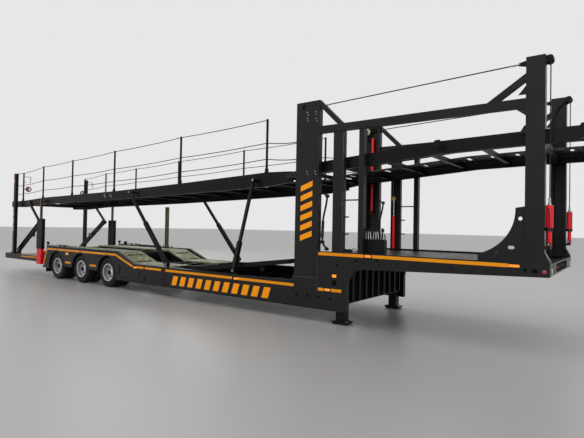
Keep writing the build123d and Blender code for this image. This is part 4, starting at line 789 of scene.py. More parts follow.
@dataclass
class TwinWheels(Assembly):
    """Twin tyres with tread, and the cap, disc, rings and nuts of each hub."""

    radius: float = 0.388
    width: float = 0.240
    spacing: float = 0.280
    inset: float = 0.035
    steps: int = 72
    shoulder: float = 0.036
    shoulder_band: Flat = (0.3755, 0.3855)
    notch_edge: float = 0.002
    notch_depth: float = 0.007
    groove_count: int = 4
    groove_depth: float = 0.010
    groove_width: float = 0.009
    groove_flare: float = 0.001
    disc_depth: float = 0.130
    screw_circle: float = 0.059
    screw_seat: float = 0.088
    nut_circle: float = 0.125
    nut_count: int = 10
    # Radius and distance from the disc, outwards
    cap: Outline = (
        (0.0, 0.071), (0.066, 0.071), (0.066, 0.086), (0.058, 0.096), (0.036, 0.100), (0.0, 0.101)
    )
    disc: Outline = (
        (0.104, 0.0008), (0.150, 0.0008), (0.150, 0.003), (0.146, 0.004), (0.108, 0.004), (0.104, 0.003)
    )
    rings: Outline = ((0.207, 0.030), (0.2045, 0.062), (0.2025, 0.094))
    ring: Outline = ((0.0, 0.0), (-0.006, 0.003), (-0.006, 0.009), (0.0, 0.012))
    # Start, end, radius, sides and end radius of each step of a nut
    nut: tuple[tuple, ...] = (
        (0.0, 0.006, 0.017, 14, 0.015), (0.006, 0.024, 0.0135, 6), (0.024, 0.034, 0.008, 10)
    )

    def profile(self) -> list[Flat]:
        """Outline of a tyre's section, radius and distance from its outer face.

        Returns:
            The closed outline, with the tread's grooves and raised rings on the walls.
        """
        wall = [
            (0.2283, 0.022), (0.246, 0.012), (0.256, 0.013), (0.262, 0.006), (0.300, 0.0), (0.316, 0.0005),
            (0.318, 0.003), (0.338, 0.004), (0.352, 0.009), (0.372, 0.018), (0.381, 0.028),
            (self.radius - 0.002, self.shoulder),
        ]
        tread, floor = [], self.radius - self.groove_depth
        top_half, floor_half = (
            self.groove_width / 2 + flare for flare in (self.groove_flare, -self.groove_flare)
        )
        for number in range(1, self.groove_count + 1):
            middle = self.shoulder + (self.width - 2 * self.shoulder) * number / (self.groove_count + 1)
            tread += [(self.radius, middle - top_half), (floor, middle - floor_half)]
            tread += [(floor, middle + floor_half), (self.radius, middle + top_half)]
        return [*wall, *tread, *[(reach, self.width - along) for reach, along in reversed(wall)]]

    def cut_shoulders(self, shape: Shape, hub_x: float) -> None:
        """Sinks every other face of the shoulders to make the tread's lateral notches.

        Args:
            shape: The tyres' mesh.
            hub_x: Place of the axle.
        """
        low, high = self.shoulder_band
        notches = []
        for face in shape.mesh.faces:
            middle = face.calc_center_median()
            ahead, above = middle.x - hub_x, middle.z - self.layout.wheel_z
            step = int(math.atan2(above, ahead) % math.tau / (math.tau / self.steps))
            if low < math.hypot(ahead, above) < high and step % 2:
                notches.append(face)
        bmesh.ops.recalc_face_normals(shape.mesh, faces=shape.mesh.faces[:])
        bmesh.ops.inset_individual(
            shape.mesh, faces=notches, thickness=self.notch_edge, depth=-self.notch_depth,
            use_even_offset=True
        )

    def build(self) -> None:
        """Builds the tyres and the hub's pieces of every wheel."""
        z = self.layout.wheel_z
        for number, x in enumerate(self.layout.axle_xs, start=1):
            for side in Side:
                label, sign = f"{number}_{side.word}", side.value
                tyres = Shape()
                outer = sign * (self.layout.half_width - self.inset)
                for y in (outer, outer - sign * self.spacing):
                    tyres.at(x, y, z).lathe(self.profile(), steps=self.steps, sign=-sign)
                self.cut_shoulders(tyres, x)
                piece = tyres.place(f"twin_tyres_{label}", self.palette, "tyre rubber", f"wheel_{label}")
                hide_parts(f"tyres_{label}")
                self.dress_hub((x, outer - sign * self.disc_depth, z), sign, label)

    def dress_hub(self, centre: Point, sign: int, label: str) -> None:
        """Adds the hub cap with its screws, the disc's ring, the rim's rings, the nuts and the valve.

        Args:
            centre: Middle of the wheel disc.
            sign: 1 or -1, the way the disc faces.
            label: End of the names of the pieces and the body.
        """
        x, y, z = centre
        cap, disc, rings, nuts = Shape(), Shape(), Shape(), Shape()
        cap.at(*centre).lathe(self.cap, steps=28, sign=sign)
        for ahead, above in circle(6, self.screw_circle):
            cap.at(x + ahead, y + sign * self.screw_seat, z + above).bolt(0.005, sign=sign)
        # The disc ring takes a darker grey than the rim: painted shade inside the rim
        disc.at(*centre).lathe(self.disc, steps=40, sign=sign)
        for reach, depth in self.rings:
            profile = [(reach + rise, depth + along) for rise, along in self.ring]
            rings.at(*centre).lathe(profile, steps=48, sign=sign)
        for ahead, above in circle(self.nut_count, self.nut_circle, 0.5):
            for start, end, *rest in self.nut:
                nuts.at(x + ahead, y, z + above).bar(Axis.Y, sign * start, sign * end, *rest)
        nuts.at(*centre).rod((0.19, sign * 0.002, 0.0), (0.203, sign * 0.050, 0.0), 0.004, 8)
        for shape, name, finish in (
            (cap, "hub_cap", "black paint"), (disc, "wheel_disc", "wheel disc"),
            (rings, "rim_rings", "worn edge"), (nuts, "wheel_nuts", "machined steel"),
        ):
            shape.place(f"{name}_{label}", self.palette, finish, f"wheel_{label}")


@dataclass
class SkirtMarkings(Assembly):
    """Reflective tape, lamps and plain slanted bars on both side plates."""

    tape_width: float = 0.052
    tape_lap: float = 0.009
    well_z: float = 0.614
    deck_z: float = 0.873
    neck_z: float = 1.217
    foot_z: float = 0.592
    arch_z: float = 0.525
    arch_half: float = 0.155
    bar_count: int = 11
    bars_x: Flat = (-0.15, 2.82)
    bars_z: Flat = (0.300, 0.510)
    bar_share: float = 0.6
    slant: float = 0.07
    pillar_bars: int = 6
    pillar_z: float = 1.43
    pillar_pitch: float = 0.18
    pillar_rise: Flat = (0.09, 0.10)
    pillar_edges: Flat = (0.12, 0.13)
    lamp_xs: Flat = (4.83, 4.055)
    lamp_half: Flat = (0.055, 0.02)

    def stick(self, shape: Shape, outline: Outline, face: float) -> None:
        """Lays tape of an outline on a face."""
        shape.plate(outline, face - TAPE, face + SINK)

    def tape(self, shape: Shape, points: Outline) -> None:
        """Lays tape along a line on the right side plate.

        Args:
            shape: The mesh that takes it.
            points: X and Z of the corners of its centre line.
        """
        for number, (start, end) in enumerate(zip(points, points[1:])):
            run = Vector((end[0] - start[0], end[1] - start[1]))
            across = Vector((-run.y, run.x)).normalized() * self.tape_width / 2
            lap = run.normalized() * self.tape_lap
            first = Vector(start) - lap * (number > 0)
            last = Vector(end) + lap * (number < len(points) - 2)
            self.stick(
                shape, [first + across, last + across, last - across, first - across], self.plate_face
            )

    def build(self) -> None:
        """Builds the tape, then the bars and the lamps."""
        well, deck, neck = self.well_z, self.deck_z, self.neck_z
        lines = [
            [(3.325, well), (1.885, well)], [(1.755, well), (-1.505, well)],
            [(-1.66, well + 0.008), (-2.405, deck), (-4.106, deck)], [(-4.122, deck), (-4.866, deck)],
            [(-4.882, deck), (-5.438, deck)], [(-5.454, deck), (-6.02, deck)],
            [(-6.045, 0.868), (-6.135, 0.690), (-6.215, 0.490), (-6.245, 0.345)],
            [(3.86, neck), (4.755, neck)], [(4.905, neck), (6.97, neck - 0.008)],
            [(3.86, 0.590), (3.98, 0.590)], [(4.13, self.foot_z), (4.34, 0.594)],
        ]
        axles = self.layout.axle_xs
        for middle in [(ahead + behind) / 2 for ahead, behind in zip(axles, axles[1:])]:
            lines.append([(middle - self.arch_half, self.arch_z), (middle + self.arch_half, self.arch_z)])
        tapes, bars, lamps = Shape(), Shape(), Shape()
        for line in lines:
            self.tape(tapes, line)
        self.pair(tapes, "side_tapes", "orange tape")
        low, high = self.bars_z
        pitch = (self.bars_x[1] - self.bars_x[0]) / self.bar_count
        for number in range(self.bar_count):
            rear = self.bars_x[0] + number * pitch
            front = rear + self.bar_share * pitch
            outline = [(rear, low), (front, low), (front + self.slant, high), (rear + self.slant, high)]
            self.stick(bars, outline, self.plate_face)
        behind, ahead = self.pillar_edges
        rear, front = self.layout.pillar_rear_x + behind, self.layout.pillar_front_x - ahead
        lean, height = self.pillar_rise
        for number in range(self.pillar_bars):
            z = self.pillar_z + number * self.pillar_pitch
            outline = [(rear, z), (front, z + lean), (front, z + lean + height), (rear, z + height)]
            self.stick(bars, outline, self.flank)
        self.pair(bars, "slanted_bars", "orange marking")
        long, tall = self.lamp_half
        for x, z in zip(self.lamp_xs, (neck, self.foot_z)):
            lamps.at(x, self.plate_face, z).box((-long, -0.005, -tall), (long, SINK, tall), 0.003)
        self.pair(lamps, "tape_lamps", "lamp lens")


@dataclass
class SkirtFittings(Assembly):
    """Bolts, latches, recesses and sockets on the side plates."""

    strut_bolts: Outline = ((-0.465, 0.52), (-0.465, 0.40))
    # Count, start, step and size of the bolts along the gooseneck and the rear fender
    neck_bolts: int = 8
    neck_start: Flat = (4.75, 1.112)
    neck_step: Flat = (0.29, -0.004)
    neck_bolt: float = 0.010
    deck_bolts: int = 9
    deck_start: Flat = (-5.9, 0.94)
    deck_step: float = 0.42
    deck_bolt: float = 0.007
    arch_reach: float = 0.452
    arch_steps: int = 14
    # Rear and front X, low and high Z
    slots: tuple[tuple[float, ...], ...] = (
        (-2.225, -2.190, 0.395, 0.630), (-1.205, -1.165, 0.535, 0.640), (-1.385, -1.345, 0.405, 0.505),
        (-1.178, -1.138, 0.285, 0.390),
    )
    # X, Z and radius
    studs: tuple[Point, ...] = (
        (3.388, 0.452, 0.023), (3.632, 0.448, 0.023), (3.876, 0.444, 0.023), (4.120, 0.440, 0.023),
        (4.245, 1.038, 0.020), (4.614, 1.129, 0.020), (4.999, 1.152, 0.020), (-0.471, 0.524, 0.018),
    )
    stud: Outline = ((0.0, 0.0), (1.0, 0.0), (1.0, 0.002), (0.7, 0.0035), (0.0, 0.0035))
    socket: Outline = (
        (0.0, 0.0), (0.048, 0.0), (0.048, 0.004), (0.040, 0.0055), (0.030, 0.0055), (0.026, 0.002),
        (0.0, 0.002),
    )

    def build(self) -> None:
        """Builds the bolt heads, the near-black fittings painted as recess shade, the painted highlights
        along the arch lips and a light patch at the slope.
        """
        face, reach = self.plate_face, self.arch_reach
        bolts, fittings, edges = Shape(), Shape(), Shape()
        for x, z in self.strut_bolts:
            bolts.at(x, face - 0.005, z).bolt(0.016)
        for number in range(self.neck_bolts):
            x, z = (start + number * step for start, step in zip(self.neck_start, self.neck_step))
            bolts.at(x, face, z).bolt(self.neck_bolt)
        for number in range(self.deck_bolts):
            x, z = self.deck_start[0] + number * self.deck_step, self.deck_start[1]
            bolts.at(x, face, z).bolt(self.deck_bolt)
        self.pair(bolts, "skirt_bolts", "black paint")
        # Slots as near-black boxes, and a near-black socket and studs: painted shade in the recesses
        for rear, front, low, high in self.slots:
            fittings.box((rear, face - 0.003, low), (front, face + SINK, high), 0.002)
        fittings.at(4.195, face + SINK, 0.722).lathe(self.socket)
        for x, z, radius in self.studs:
            fittings.at(x, face + SINK, z).lathe(scaled(self.stud, radius), steps=18)
        self.pair(fittings, "skirt_fittings", "dark recess")
        # Light strips along the arch lips: painted highlight where the lips catch the light
        turns = [math.radians(8 + 164 * step / self.arch_steps) for step in range(self.arch_steps + 1)]
        for x in self.layout.axle_xs:
            edges.at(x, face - 0.005, self.layout.wheel_z)
            edges.pipe([(reach * math.cos(turn), 0.0, reach * math.sin(turn)) for turn in turns], 0.005, 1)
        edges.at(0.0, face, 0.0).box((-2.110, -0.003, 0.375), (-2.055, 0.0002, 0.400), 0.001)
        self.pair(edges, "arch_edges", "worn edge")


@dataclass
class DeckHandrails(Assembly):
    """Ropes, clamps and foot brackets of the rear deck's handrails, with the rear lamp and hoop."""

    rope_radius: float = 0.0085
    rope_shares: tuple[float, ...] = (0.98, 0.55, 0.25)
    sag: float = 0.018
    rear_eye: Flat = (-8.395, -1.165)
    front_eye: Flat = (3.318, -1.150)
    front_zs: Flat = (3.278, 2.955)
    foot_size: float = 0.034
    foot_height: float = 0.075
    foot_bolt: float = 0.007
    foot_bolt_reach: float = 0.03
    # Half length, radius and sides of a rope's clamp
    clamp: tuple[float, float, int] = (0.016, 0.019, 12)
    lamp_place: Point = (-8.130, -0.950, 2.785)
    lamp_radius: float = 0.090
    # Share of the lamp's radius, and X from its middle
    lamp: Outline = (
        (0.0, -0.016), (0.9, -0.016), (1.0, -0.008), (1.0, 0.016), (0.72, 0.018), (0.70, 0.009), (0.0, 0.009)
    )
    lens_share: float = 0.69
    lens_steps: int = 12
    # X and Z of the bars' bends, from the lamp's middle
    hoop: Outline = (
        (-0.05, 0.42), (0.10, 0.40), (0.42, 0.39), (0.45, 0.36), (0.45, 0.22), (0.42, 0.19), (0.34, 0.19)
    )
    hook: Outline = ((-0.05, 0.25), (0.02, 0.245), (0.12, 0.205))
    hoop_y: float = -0.133
    hoop_radius: float = 0.0085

    def build(self) -> None:
        """Builds the ropes, then what holds them, then the rear lamp and hoop."""
        ropes, holders = Shape(), Shape()
        knots = []
        foot, height = self.foot_size, self.foot_height
        half, *section = self.clamp
        for low, high in stations("deck_handrails"):
            x, y = (low.x + high.x) / 2, (low.y + high.y) / 2
            knots.append([(x, y, low.z + share * (high.z - low.z)) for share in self.rope_shares])
            holders.at(x, y, low.z).box((-foot, -0.6 * foot, 0.0), (foot, 0.6 * foot, height), 0.004)
            for ahead in (-self.foot_bolt_reach, self.foot_bolt_reach):
                holders.at(x + ahead, y, low.z + height).bolt(self.foot_bolt, Axis.Z, 1)
            for knot in knots[-1]:
                holders.at(*knot).bar(Axis.Z, -half, half, *section)
        for number, line in enumerate(zip(*knots)):
            ends = [(*self.front_eye, self.front_zs[number - 1])] if number else []
            line = [(*self.rear_eye, line[0][2]), *line, *ends]
            for start, end in zip(line, line[1:]):
                middle = (Vector(start) + Vector(end)) / 2 - Vector((0.0, 0.0, 2 * self.sag))
                ropes.pipe([start, middle, end], self.rope_radius)
        self.pair(ropes, "handrail_ropes", "wire rope", "rear_deck")
        self.pair(holders, "handrail_feet", "black paint", "rear_deck")
        self.rear_lamp()

    def rear_lamp(self) -> None:
        """Builds the round two-coloured lamp beside each rearmost post, and the bent bars above it."""
        body, hoops = Shape().at(*self.lamp_place), Shape().at(*self.lamp_place)
        body.lathe(scaled(self.lamp, self.lamp_radius), Axis.X, 28, 1)
        body.box((-0.012, -0.150, -0.014), (-0.002, -0.02, 0.014), 0.002)
        self.pair(body, "rear_lamp_bodies", "soft rubber", "rear_deck")
        reach = self.lens_share * self.lamp_radius
        arc = [math.pi * step / self.lens_steps for step in range(self.lens_steps + 1)]
        for name, finish, sign in (("rear_lamp_red", "red lens", -1), ("rear_lamp_white", "white paint", 1)):
            lens = Shape().at(*self.lamp_place)
            half = [(0.009, sign * reach * math.sin(turn), reach * math.cos(turn)) for turn in arc]
            lens.slab(half, (0.005, 0.0, 0.0))
            self.pair(lens, name, finish, "rear_deck")
        for bends in (self.hoop, self.hook):
            hoops.pipe([(ahead, self.hoop_y, above) for ahead, above in bends], self.hoop_radius)
        self.pair(hoops, "rear_hoops", "black paint", "rear_deck")


@dataclass
class TopRigging(Assembly):
    """Wire ropes between the pillar heads, with their lugs, tensioners, head rollers and hose guides."""

    line_y: float = -1.2
    rope_radius: float = 0.0095
    rear_z: float = 3.874
    front_z: float = 3.982
    # X and Z of a lug's corners from the rope's end
    rear_lug: Outline = ((-0.01, -0.06), (0.075, -0.02), (0.075, 0.02), (-0.01, 0.055))
    front_lug: Outline = ((0.01, -0.05), (-0.11, -0.018), (-0.11, 0.018), (0.01, 0.045))
    lug_half: float = 0.006
    roller_radius: float = 0.050
    roller_half: float = 0.0275
    cheek: Outline = ((-0.045, -0.075), (0.020, -0.030), (0.030, 0.0), (0.020, 0.030), (-0.045, 0.045))
    cheek_half: float = 0.003
    cheek_gap: float = 0.004
    cheek_bolt: float = 0.014
    ram_x: float = 7.457
    ram_foot: float = 1.515
    ram_top: float = 2.031
    collar_z: float = 1.714
    guide_y: float = -1.118
    # X from the pillar and Z of the hose guide's bends
    guide: Outline = (
        (0.015, 3.30), (0.012, 3.42), (0.014, 3.58), (0.035, 3.71), (0.090, 3.83), (0.165, 3.92)
    )
    drum: Outline = (
        (0.0, -0.035), (0.046, -0.035), (0.052, -0.028), (0.052, 0.028), (0.046, 0.035), (0.0, 0.035)
    )
    # X and Z from the pillar's corner at the rail and at the deck
    gussets: tuple[Outline, ...] = (
        ((-0.105, 3.550), (0.0, 3.550), (0.0, 3.680)),
        ((-0.090, 3.020), (0.0, 3.020), (0.0, 3.125), (-0.025, 3.125)),
    )

    def build(self) -> None:
        """Builds the ropes with their ends and lugs, then the rollers and what is below them."""
        rear_x, front_x, y = self.layout.pillar_front_x, self.layout.front_pillar_rear_x, self.line_y
        roller_x, roller_z = self.layout.front_pillar_front_x + 0.040, self.layout.front_pillar_top - 0.052
        ropes, ends, lugs = Shape(), Shape(), Shape()
        ropes.pipe([(rear_x + 0.09, y, self.rear_z), (front_x - 0.13, y, self.front_z)], self.rope_radius)
        ropes.at(self.ram_x, y, 0.0).bar(Axis.Z, self.ram_top + 0.06, roller_z, 0.0075, 10)
        for x, z, sign in ((rear_x + 0.10, self.rear_z, 1), (front_x - 0.14, self.front_z, -1)):
            ends.at(x, y, z).bar(Axis.X, 0.0, sign * 0.075, 0.016, 12, 0.010)
            for across in (-0.012, 0.012):
                ends.at(x, y + across, z).bar(Axis.X, -sign * 0.055, 0.0, 0.006, 10)
            ends.at(x - sign * 0.045, y, z).bar(Axis.Y, -0.022, 0.022, 0.010, 12)
        ends.at(self.ram_x, y, self.ram_top).bar(Axis.Z, 0.0, 0.10, 0.016, 12)
        for x, z, outline in ((rear_x, self.rear_z, self.rear_lug), (front_x, self.front_z, self.front_lug)):
            lugs.at(x, y, z).plate(outline, -self.lug_half, self.lug_half)
        radius, half = self.roller_radius, self.roller_half
        tread = [(0.0, -half), (radius, -half), (0.82 * radius, 0.0), (radius, half), (0.0, half)]
        lugs.at(roller_x, y, roller_z).lathe(tread, sign=1)
        thick = self.cheek_half
        for side in (-1, 1):
            lugs.at(roller_x, y + side * (half + self.cheek_gap), roller_z).plate(self.cheek, -thick, thick)
            face = half + self.cheek_gap + thick
            lugs.at(roller_x, y + side * face, roller_z).bolt(self.cheek_bolt, sign=side)
        self.pair(ropes, "head_ropes", "wire rope")
        self.pair(ends, "rope_tensioners", "machined steel")
        self.pair(lugs, "head_rollers", "black paint")
        plates = Shape().at(front_x + 0.004, y, 0.0)
        for outline in self.gussets:
            plates.plate(outline, -0.040, -0.028)
        self.pair(plates, "pillar_gussets", "charcoal paint")
        self.collars()
        self.guides(roller_x, roller_z)

    def collars(self) -> None:
        """Builds the dark collar, the hose and the end pins of each front ram."""
        collars, pins = Shape(), Shape()
        x, y = self.ram_x, self.line_y
        profile = [(0.030, -0.022), (0.049, -0.022), (0.049, 0.022), (0.030, 0.022)]
        collars.at(x, y, self.collar_z).lathe(profile, Axis.Z, 28, 1)
        hose = [(0.0, -0.045, 1.98), (0.0, -0.075, 1.99), (0.01, -0.075, 1.85), (0.0, -0.05, 1.735)]
        collars.at(x, y, 0.0).pipe(hose, 0.007)
        collars.at(x, y, self.ram_foot).bar(Axis.Y, -0.052, 0.052, 0.026)
        pins.at(x, y, self.ram_foot).bar(Axis.Y, -0.060, 0.060, 0.015, 14)
        pins.at(x, y, self.ram_top).bar(Axis.Z, -0.002, 0.030, 0.030, 16, 0.020)
        self.pair(collars, "ram_collars", "soft rubber")
        self.pair(pins, "ram_pins", "machined steel")

    def guides(self, roller_x: float, roller_z: float) -> None:
        """Builds the bent hose guides inside the front pillars, from the rail to the roller.

        Args:
            roller_x: Place of the head roller along the trailer.
            roller_z: Its height.
        """
        guide = Shape()
        y, x = self.guide_y, self.layout.front_pillar_rear_x
        bends = [(x + ahead, y, z) for ahead, z in self.guide]
        guide.pipe([*bends, (roller_x - 0.02, y, roller_z - 0.005)], 0.019, 3)
        for z in (3.36, 3.52):
            guide.at(x, y, z).box((-0.012, -0.030, -0.012), (0.040, 0.022, 0.012), 0.003)
        guide.at(roller_x - 0.006, y, roller_z).lathe(self.drum, sign=1)
        self.pair(guide, "hose_guides", "black paint")


@dataclass
class MidPillarGear(Assembly):
    """Head sheaves, hoses, bolts and seams of the mid pillars."""

    channel_y: float = -1.205
    sheave_y: float = -1.170
    sheave_radius: float = 0.078
    # X and Z from the sheave's middle
    fork: Outline = ((-0.028, -0.20), (0.028, -0.20), (0.034, 0.02), (0.0, 0.045), (-0.034, 0.02))
    bolt_pairs: Outline = (
        (3.580, 3.745), (3.584, 3.637), (3.764, 3.738), (3.770, 3.613), (3.592, 2.665), (3.765, 2.660),
    )
    hose_xs: tuple[float, ...] = (3.405, 3.437, 3.470, 3.502, 3.534)
    clip_zs: tuple[float, ...] = (1.55, 2.05, 2.55)

    def build(self) -> None:
        """Builds the sheaves with their forks, the hoses with their clips, and the fasteners."""
        rear, y, radius = self.layout.pillar_rear_x, self.channel_y, self.sheave_radius
        middle = (rear + 0.180, self.sheave_y, self.layout.pillar_top - 0.118)
        sheaves, forks, hoses, bolts, seams = Shape(), Shape(), Shape(), Shape(), Shape()
        groove = [
            (0.012, -0.018), (radius, -0.018), (radius - 0.012, -0.006), (radius - 0.012, 0.006),
            (radius, 0.018),
            (0.012, 0.018),
        ]
        sheaves.at(*middle).lathe(groove, steps=32, sign=1)
        self.pair(sheaves, "head_sheaves", "cream plastic")
        forks.at(*middle)
        for face in (-0.026, 0.026):
            forks.plate(self.fork, face - 0.004, face + 0.004)
        forks.box((-0.03, -0.031, -0.24), (0.03, 0.031, -0.19), 0.004)
        forks.bar(Axis.Z, -0.24, -0.62, 0.016, 14)
        forks.at(middle[0], self.sheave_y + 0.030, middle[2]).bolt(0.016, sign=1)
        forks.at(rear, y, 0.0).box((0.235, -0.03, 2.02), (0.345, 0.035, 2.07), 0.004)
        self.pair(forks, "sheave_forks", "black paint")
        for number, x in enumerate(self.hose_xs):
            top = 3.10 - 0.07 * number
            hoses.at(x, y + 0.02, 0.0)
            hoses.pipe(
                [(0.0, 0.0, 1.30), (0.0, 0.0, 1.9), (0.004, 0.004, top - 0.2), (0.0, 0.0, top)], 0.0125, 3
            )
            hoses.bar(Axis.Z, top - 0.01, top + 0.045, 0.015, 12)
        for z in self.clip_zs:
            hoses.at(0.0, y, z)
            hoses.box((self.hose_xs[0] - 0.02, 0.03, 0.0), (self.hose_xs[-1] + 0.02, 0.038, 0.03), 0.002)
        self.pair(hoses, "pillar_hoses", "soft rubber")
        for x, z in self.bolt_pairs:
            for step in (-1, 1):
                bolts.at(x + 0.010 * step, self.flank, z - 0.024 * step).bolt(0.0085)
        self.pair(bolts, "pillar_bolts", "machined steel")
        # Thin light strips along the pillars' seams: painted highlight on the seam edges
        seams.at(0.0, self.flank, 0.0).box((rear - 0.02, -0.0015, 0.776), (3.825, 0.0005, 0.781))
        seams.box((3.836, -0.0015, 0.60), (3.8405, 0.004, 1.259))
        self.pair(seams, "pillar_seams", "worn edge")


@dataclass
class GooseneckGear(Assembly):
    """Valve levers and hoses, the bent stay, floor tackle and the posts' caps above the gooseneck."""

    lever_count: int = 9
    lever_root: float = 0.215
    lever_lean: float = 0.012
    # Share of the lean and height of the tops of spool, lever and knob
    lever_tops: Outline = ((0.0, 0.075), (1.0, 0.185), (1.6, 0.225))
    # X, Y and Z from the lever's root
    hose: tuple[Point, ...] = (
        (0.0, 0.055, -0.06), (0.0, 0.085, 0.02), (-0.015, 0.075, 0.16), (-0.05, 0.040, 0.10),
        (-0.06, 0.030, 0.01),
    )
    # X and Z of the stay's bends
    stay: Outline = (
        (3.950, 2.245), (3.935, 2.10), (3.868, 1.86), (3.856, 1.62), (3.862, 1.42), (3.905, 1.345),
        (3.955, 1.305),
    )
    stay_tail: Outline = ((3.950, 2.245), (3.90, 2.275), (3.842, 2.300))
    stay_knobs: Outline = ((3.950, 2.245), (3.862, 1.42), (3.955, 1.300))
    stay_y: float = -1.15
    # Start, end and radius of the roll and its two bands
    roll: tuple[Point, ...] = ((4.225, 4.395, 0.040), (4.250, 4.262, 0.044), (4.350, 4.362, 0.044))
    roll_y: float = -1.02
    cap: Outline = ((0.0, 0.0), (0.043, 0.0), (0.045, 0.004), (0.045, 0.050), (0.038, 0.058), (0.0, 0.058))

    def build(self) -> None:
        """Builds the levers and hoses, then the stays, the rolled strap and the yellow caps."""
        low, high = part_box("valve_block")
        spools, boots, hoses = Shape(), Shape(), Shape()
        pitch = (high.x - low.x - 0.08) / (self.lever_count - 1)
        for number in range(self.lever_count):
            root = (low.x + 0.04 + pitch * number, (low.y + high.y) / 2, low.z + self.lever_root)
            lean = self.lever_lean * ((number * 5) % 3 - 1)
            spool, lever, knob = ((share * lean, 0.0, top) for share, top in self.lever_tops)
            spools.at(*root).rod((0.0, 0.0, 0.0), spool, 0.0165, 14)
            spools.rod(spool, lever, 0.0125, 12, 0.009)
            boots.at(*root).rod(lever, knob, 0.011, 12, 0.015)
            hoses.at(*root).pipe(self.hose, 0.010)
        spools.place("valve_spools", self.palette, "machined steel")
        boots.place("lever_knobs", self.palette, "soft rubber")
        hoses.place("valve_hoses", self.palette, "soft rubber")
        stay, strap, ring, caps = Shape(), Shape(), Shape(), Shape()
        stay.at(0.0, self.stay_y, 0.0).pipe([(x, 0.0, z) for x, z in self.stay], 0.018, 3)
        stay.rod((3.8685, 0.0, 1.80), (3.857, 0.0, 1.50), 0.026, 14)
        stay.pipe([(x, 0.0, z) for x, z in self.stay_tail], 0.014)
        for x, z in self.stay_knobs:
            stay.at(x, self.stay_y, z).bar(Axis.Y, -0.026, 0.026, 0.031, 14)
        self.pair(stay, "pillar_stays", "soft rubber")
        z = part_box("gooseneck_deck")[1].z + 0.042
        for start, end, radius in self.roll:
            strap.at(0.0, self.roll_y, z).bar(Axis.X, start, end, radius, 20)
        ring.at(4.440, self.roll_y, z + 0.010)
        ring.lathe([(0.034, -0.007), (0.048, -0.007), (0.048, 0.007), (0.034, 0.007)], sign=1)
        strap.place("strap_roll", self.palette, "soft rubber")
        ring.place("strap_ring", self.palette, "machined steel")
        low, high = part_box("post_ram_rods")
        caps.at((low.x + high.x) / 2, 0.033 - high.y, high.z - 0.075).lathe(self.cap, Axis.Z, sign=1)
        self.pair(caps, "rod_caps", "yellow cap", "post_rod_pair")


@dataclass
class RearMarks(Assembly):
    """Reflective strips, lamps, casings and pin heads at the trailer's rear."""

    mark_xs: Flat = (0.004, 0.056)
    mark_zs: Outline = ((1.38, 1.56), (1.62, 1.80), (1.86, 2.00), (3.02, 3.10))
    stripe: Outline = ((-7.790, 0.538), (-6.640, 0.548), (-6.640, 0.584), (-7.790, 0.574))
    lamp_z: Flat = (0.562, 0.638)
    lens_ys: tuple[float, ...] = (-1.137, -1.035, -0.933)
    sheet: float = 0.0015
    # Share of the radius and distance from the face
    head: Outline = ((0.0, -0.001), (1.0, -0.001), (1.0, 0.004), (0.8, 0.0055), (0.4, 0.0045), (0.0, 0.0045))
    # Name, body, X, Y of the face, Z and radius
    pins: tuple[tuple[str, str, float, float, float, float], ...] = (
        ("strut_head_pins", "box_rod_pair", -1.920, -1.254, 2.485, 0.026),
        ("strut_foot_pins", "box_strut_pair", -0.385, -1.262, 0.760, 0.026),
        ("bar_head_pins", "pin_bar_pair", 2.252, -1.254, 2.602, 0.024),
        ("bar_foot_pins", "pin_strut_pair", 1.753, -1.262, 0.760, 0.024),
        ("arm_knee_pins", "lower_arm_pair", -6.880, -1.170, 1.720, 0.030),
        ("arm_foot_pins", "lower_arm_pair", -8.410, -1.170, 0.730, 0.030),
        ("arm_head_pins", "upper_arm_pair", -7.600, -1.170, 2.325, 0.026),
    )

    def build(self) -> None:
        """Builds the strips and lamps, then the casings and the pins."""
        marks, stripe, side, lens, housing = Shape(), Shape(), Shape(), Shape(), Shape()
        edge, end, (low, high) = stations("rear_posts", 0.5)[0][0].x, self.layout.rear_end, self.lamp_z
        rear, front = (edge + ahead for ahead in self.mark_xs)
        for bottom, top in self.mark_zs:
            marks.box((rear, self.flank - TAPE, bottom), (front, self.flank + SINK, top))
        self.pair(marks, "post_marks", "orange tape")
        stripe.plate(self.stripe, self.flank - TAPE, self.flank + SINK)
        self.pair(stripe, "extension_stripes", "orange tape")
        side.at(end, self.flank, 0.50).box((0.004, -0.0045, 0.0), (0.075, SINK, 0.045), 0.0015)
        self.pair(side, "rear_side_lenses", "red lens")
        for y in self.lens_ys:
            lens.at(end + 0.018, y, 0.0).box(
                (-0.004, 0.003, low + 0.004), (0.004, 0.099, high - 0.004), 0.003
            )
        self.pair(lens, "rear_lenses", "red lens")
        housing.at(end + 0.018, 0.0, 0.0).box((0.0, -1.139, low), (0.066, -0.831, high), 0.003)
        self.pair(housing, "rear_lamp_housings", "black paint")
        self.casings()
        for name, body, x, y, z, radius in self.pins:
            pin = Shape().at(x, y, z)
            pin.lathe(scaled(self.head, radius))
            self.pair(pin, name, "machined steel", body)

    def casings(self) -> None:
        """Builds the sheet casings outside the lift columns and their red feet, open to the rods' slots."""
        for name, finish, (low, high), width in (
            ("column_casings", "black paint", stations("rear_posts", 0.5)[1], 0.045),
            ("foot_casings", "red paint", stations("lift_rams", 0.5)[0], 0.035),
        ):
            casing = Shape()
            outer, inner = low.y - self.sheet, high.y + self.sheet
            casing.box((low.x - width, outer, low.z), (low.x + 0.001, inner, high.z), 0.003)
            casing.box((high.x - 0.001, outer, low.z), (high.x + width, inner, high.z), 0.003)
            casing.box((low.x - 0.01, outer, low.z), (high.x + 0.01, low.y + self.sheet / 3, high.z))
            self.pair(casing, name, finish)


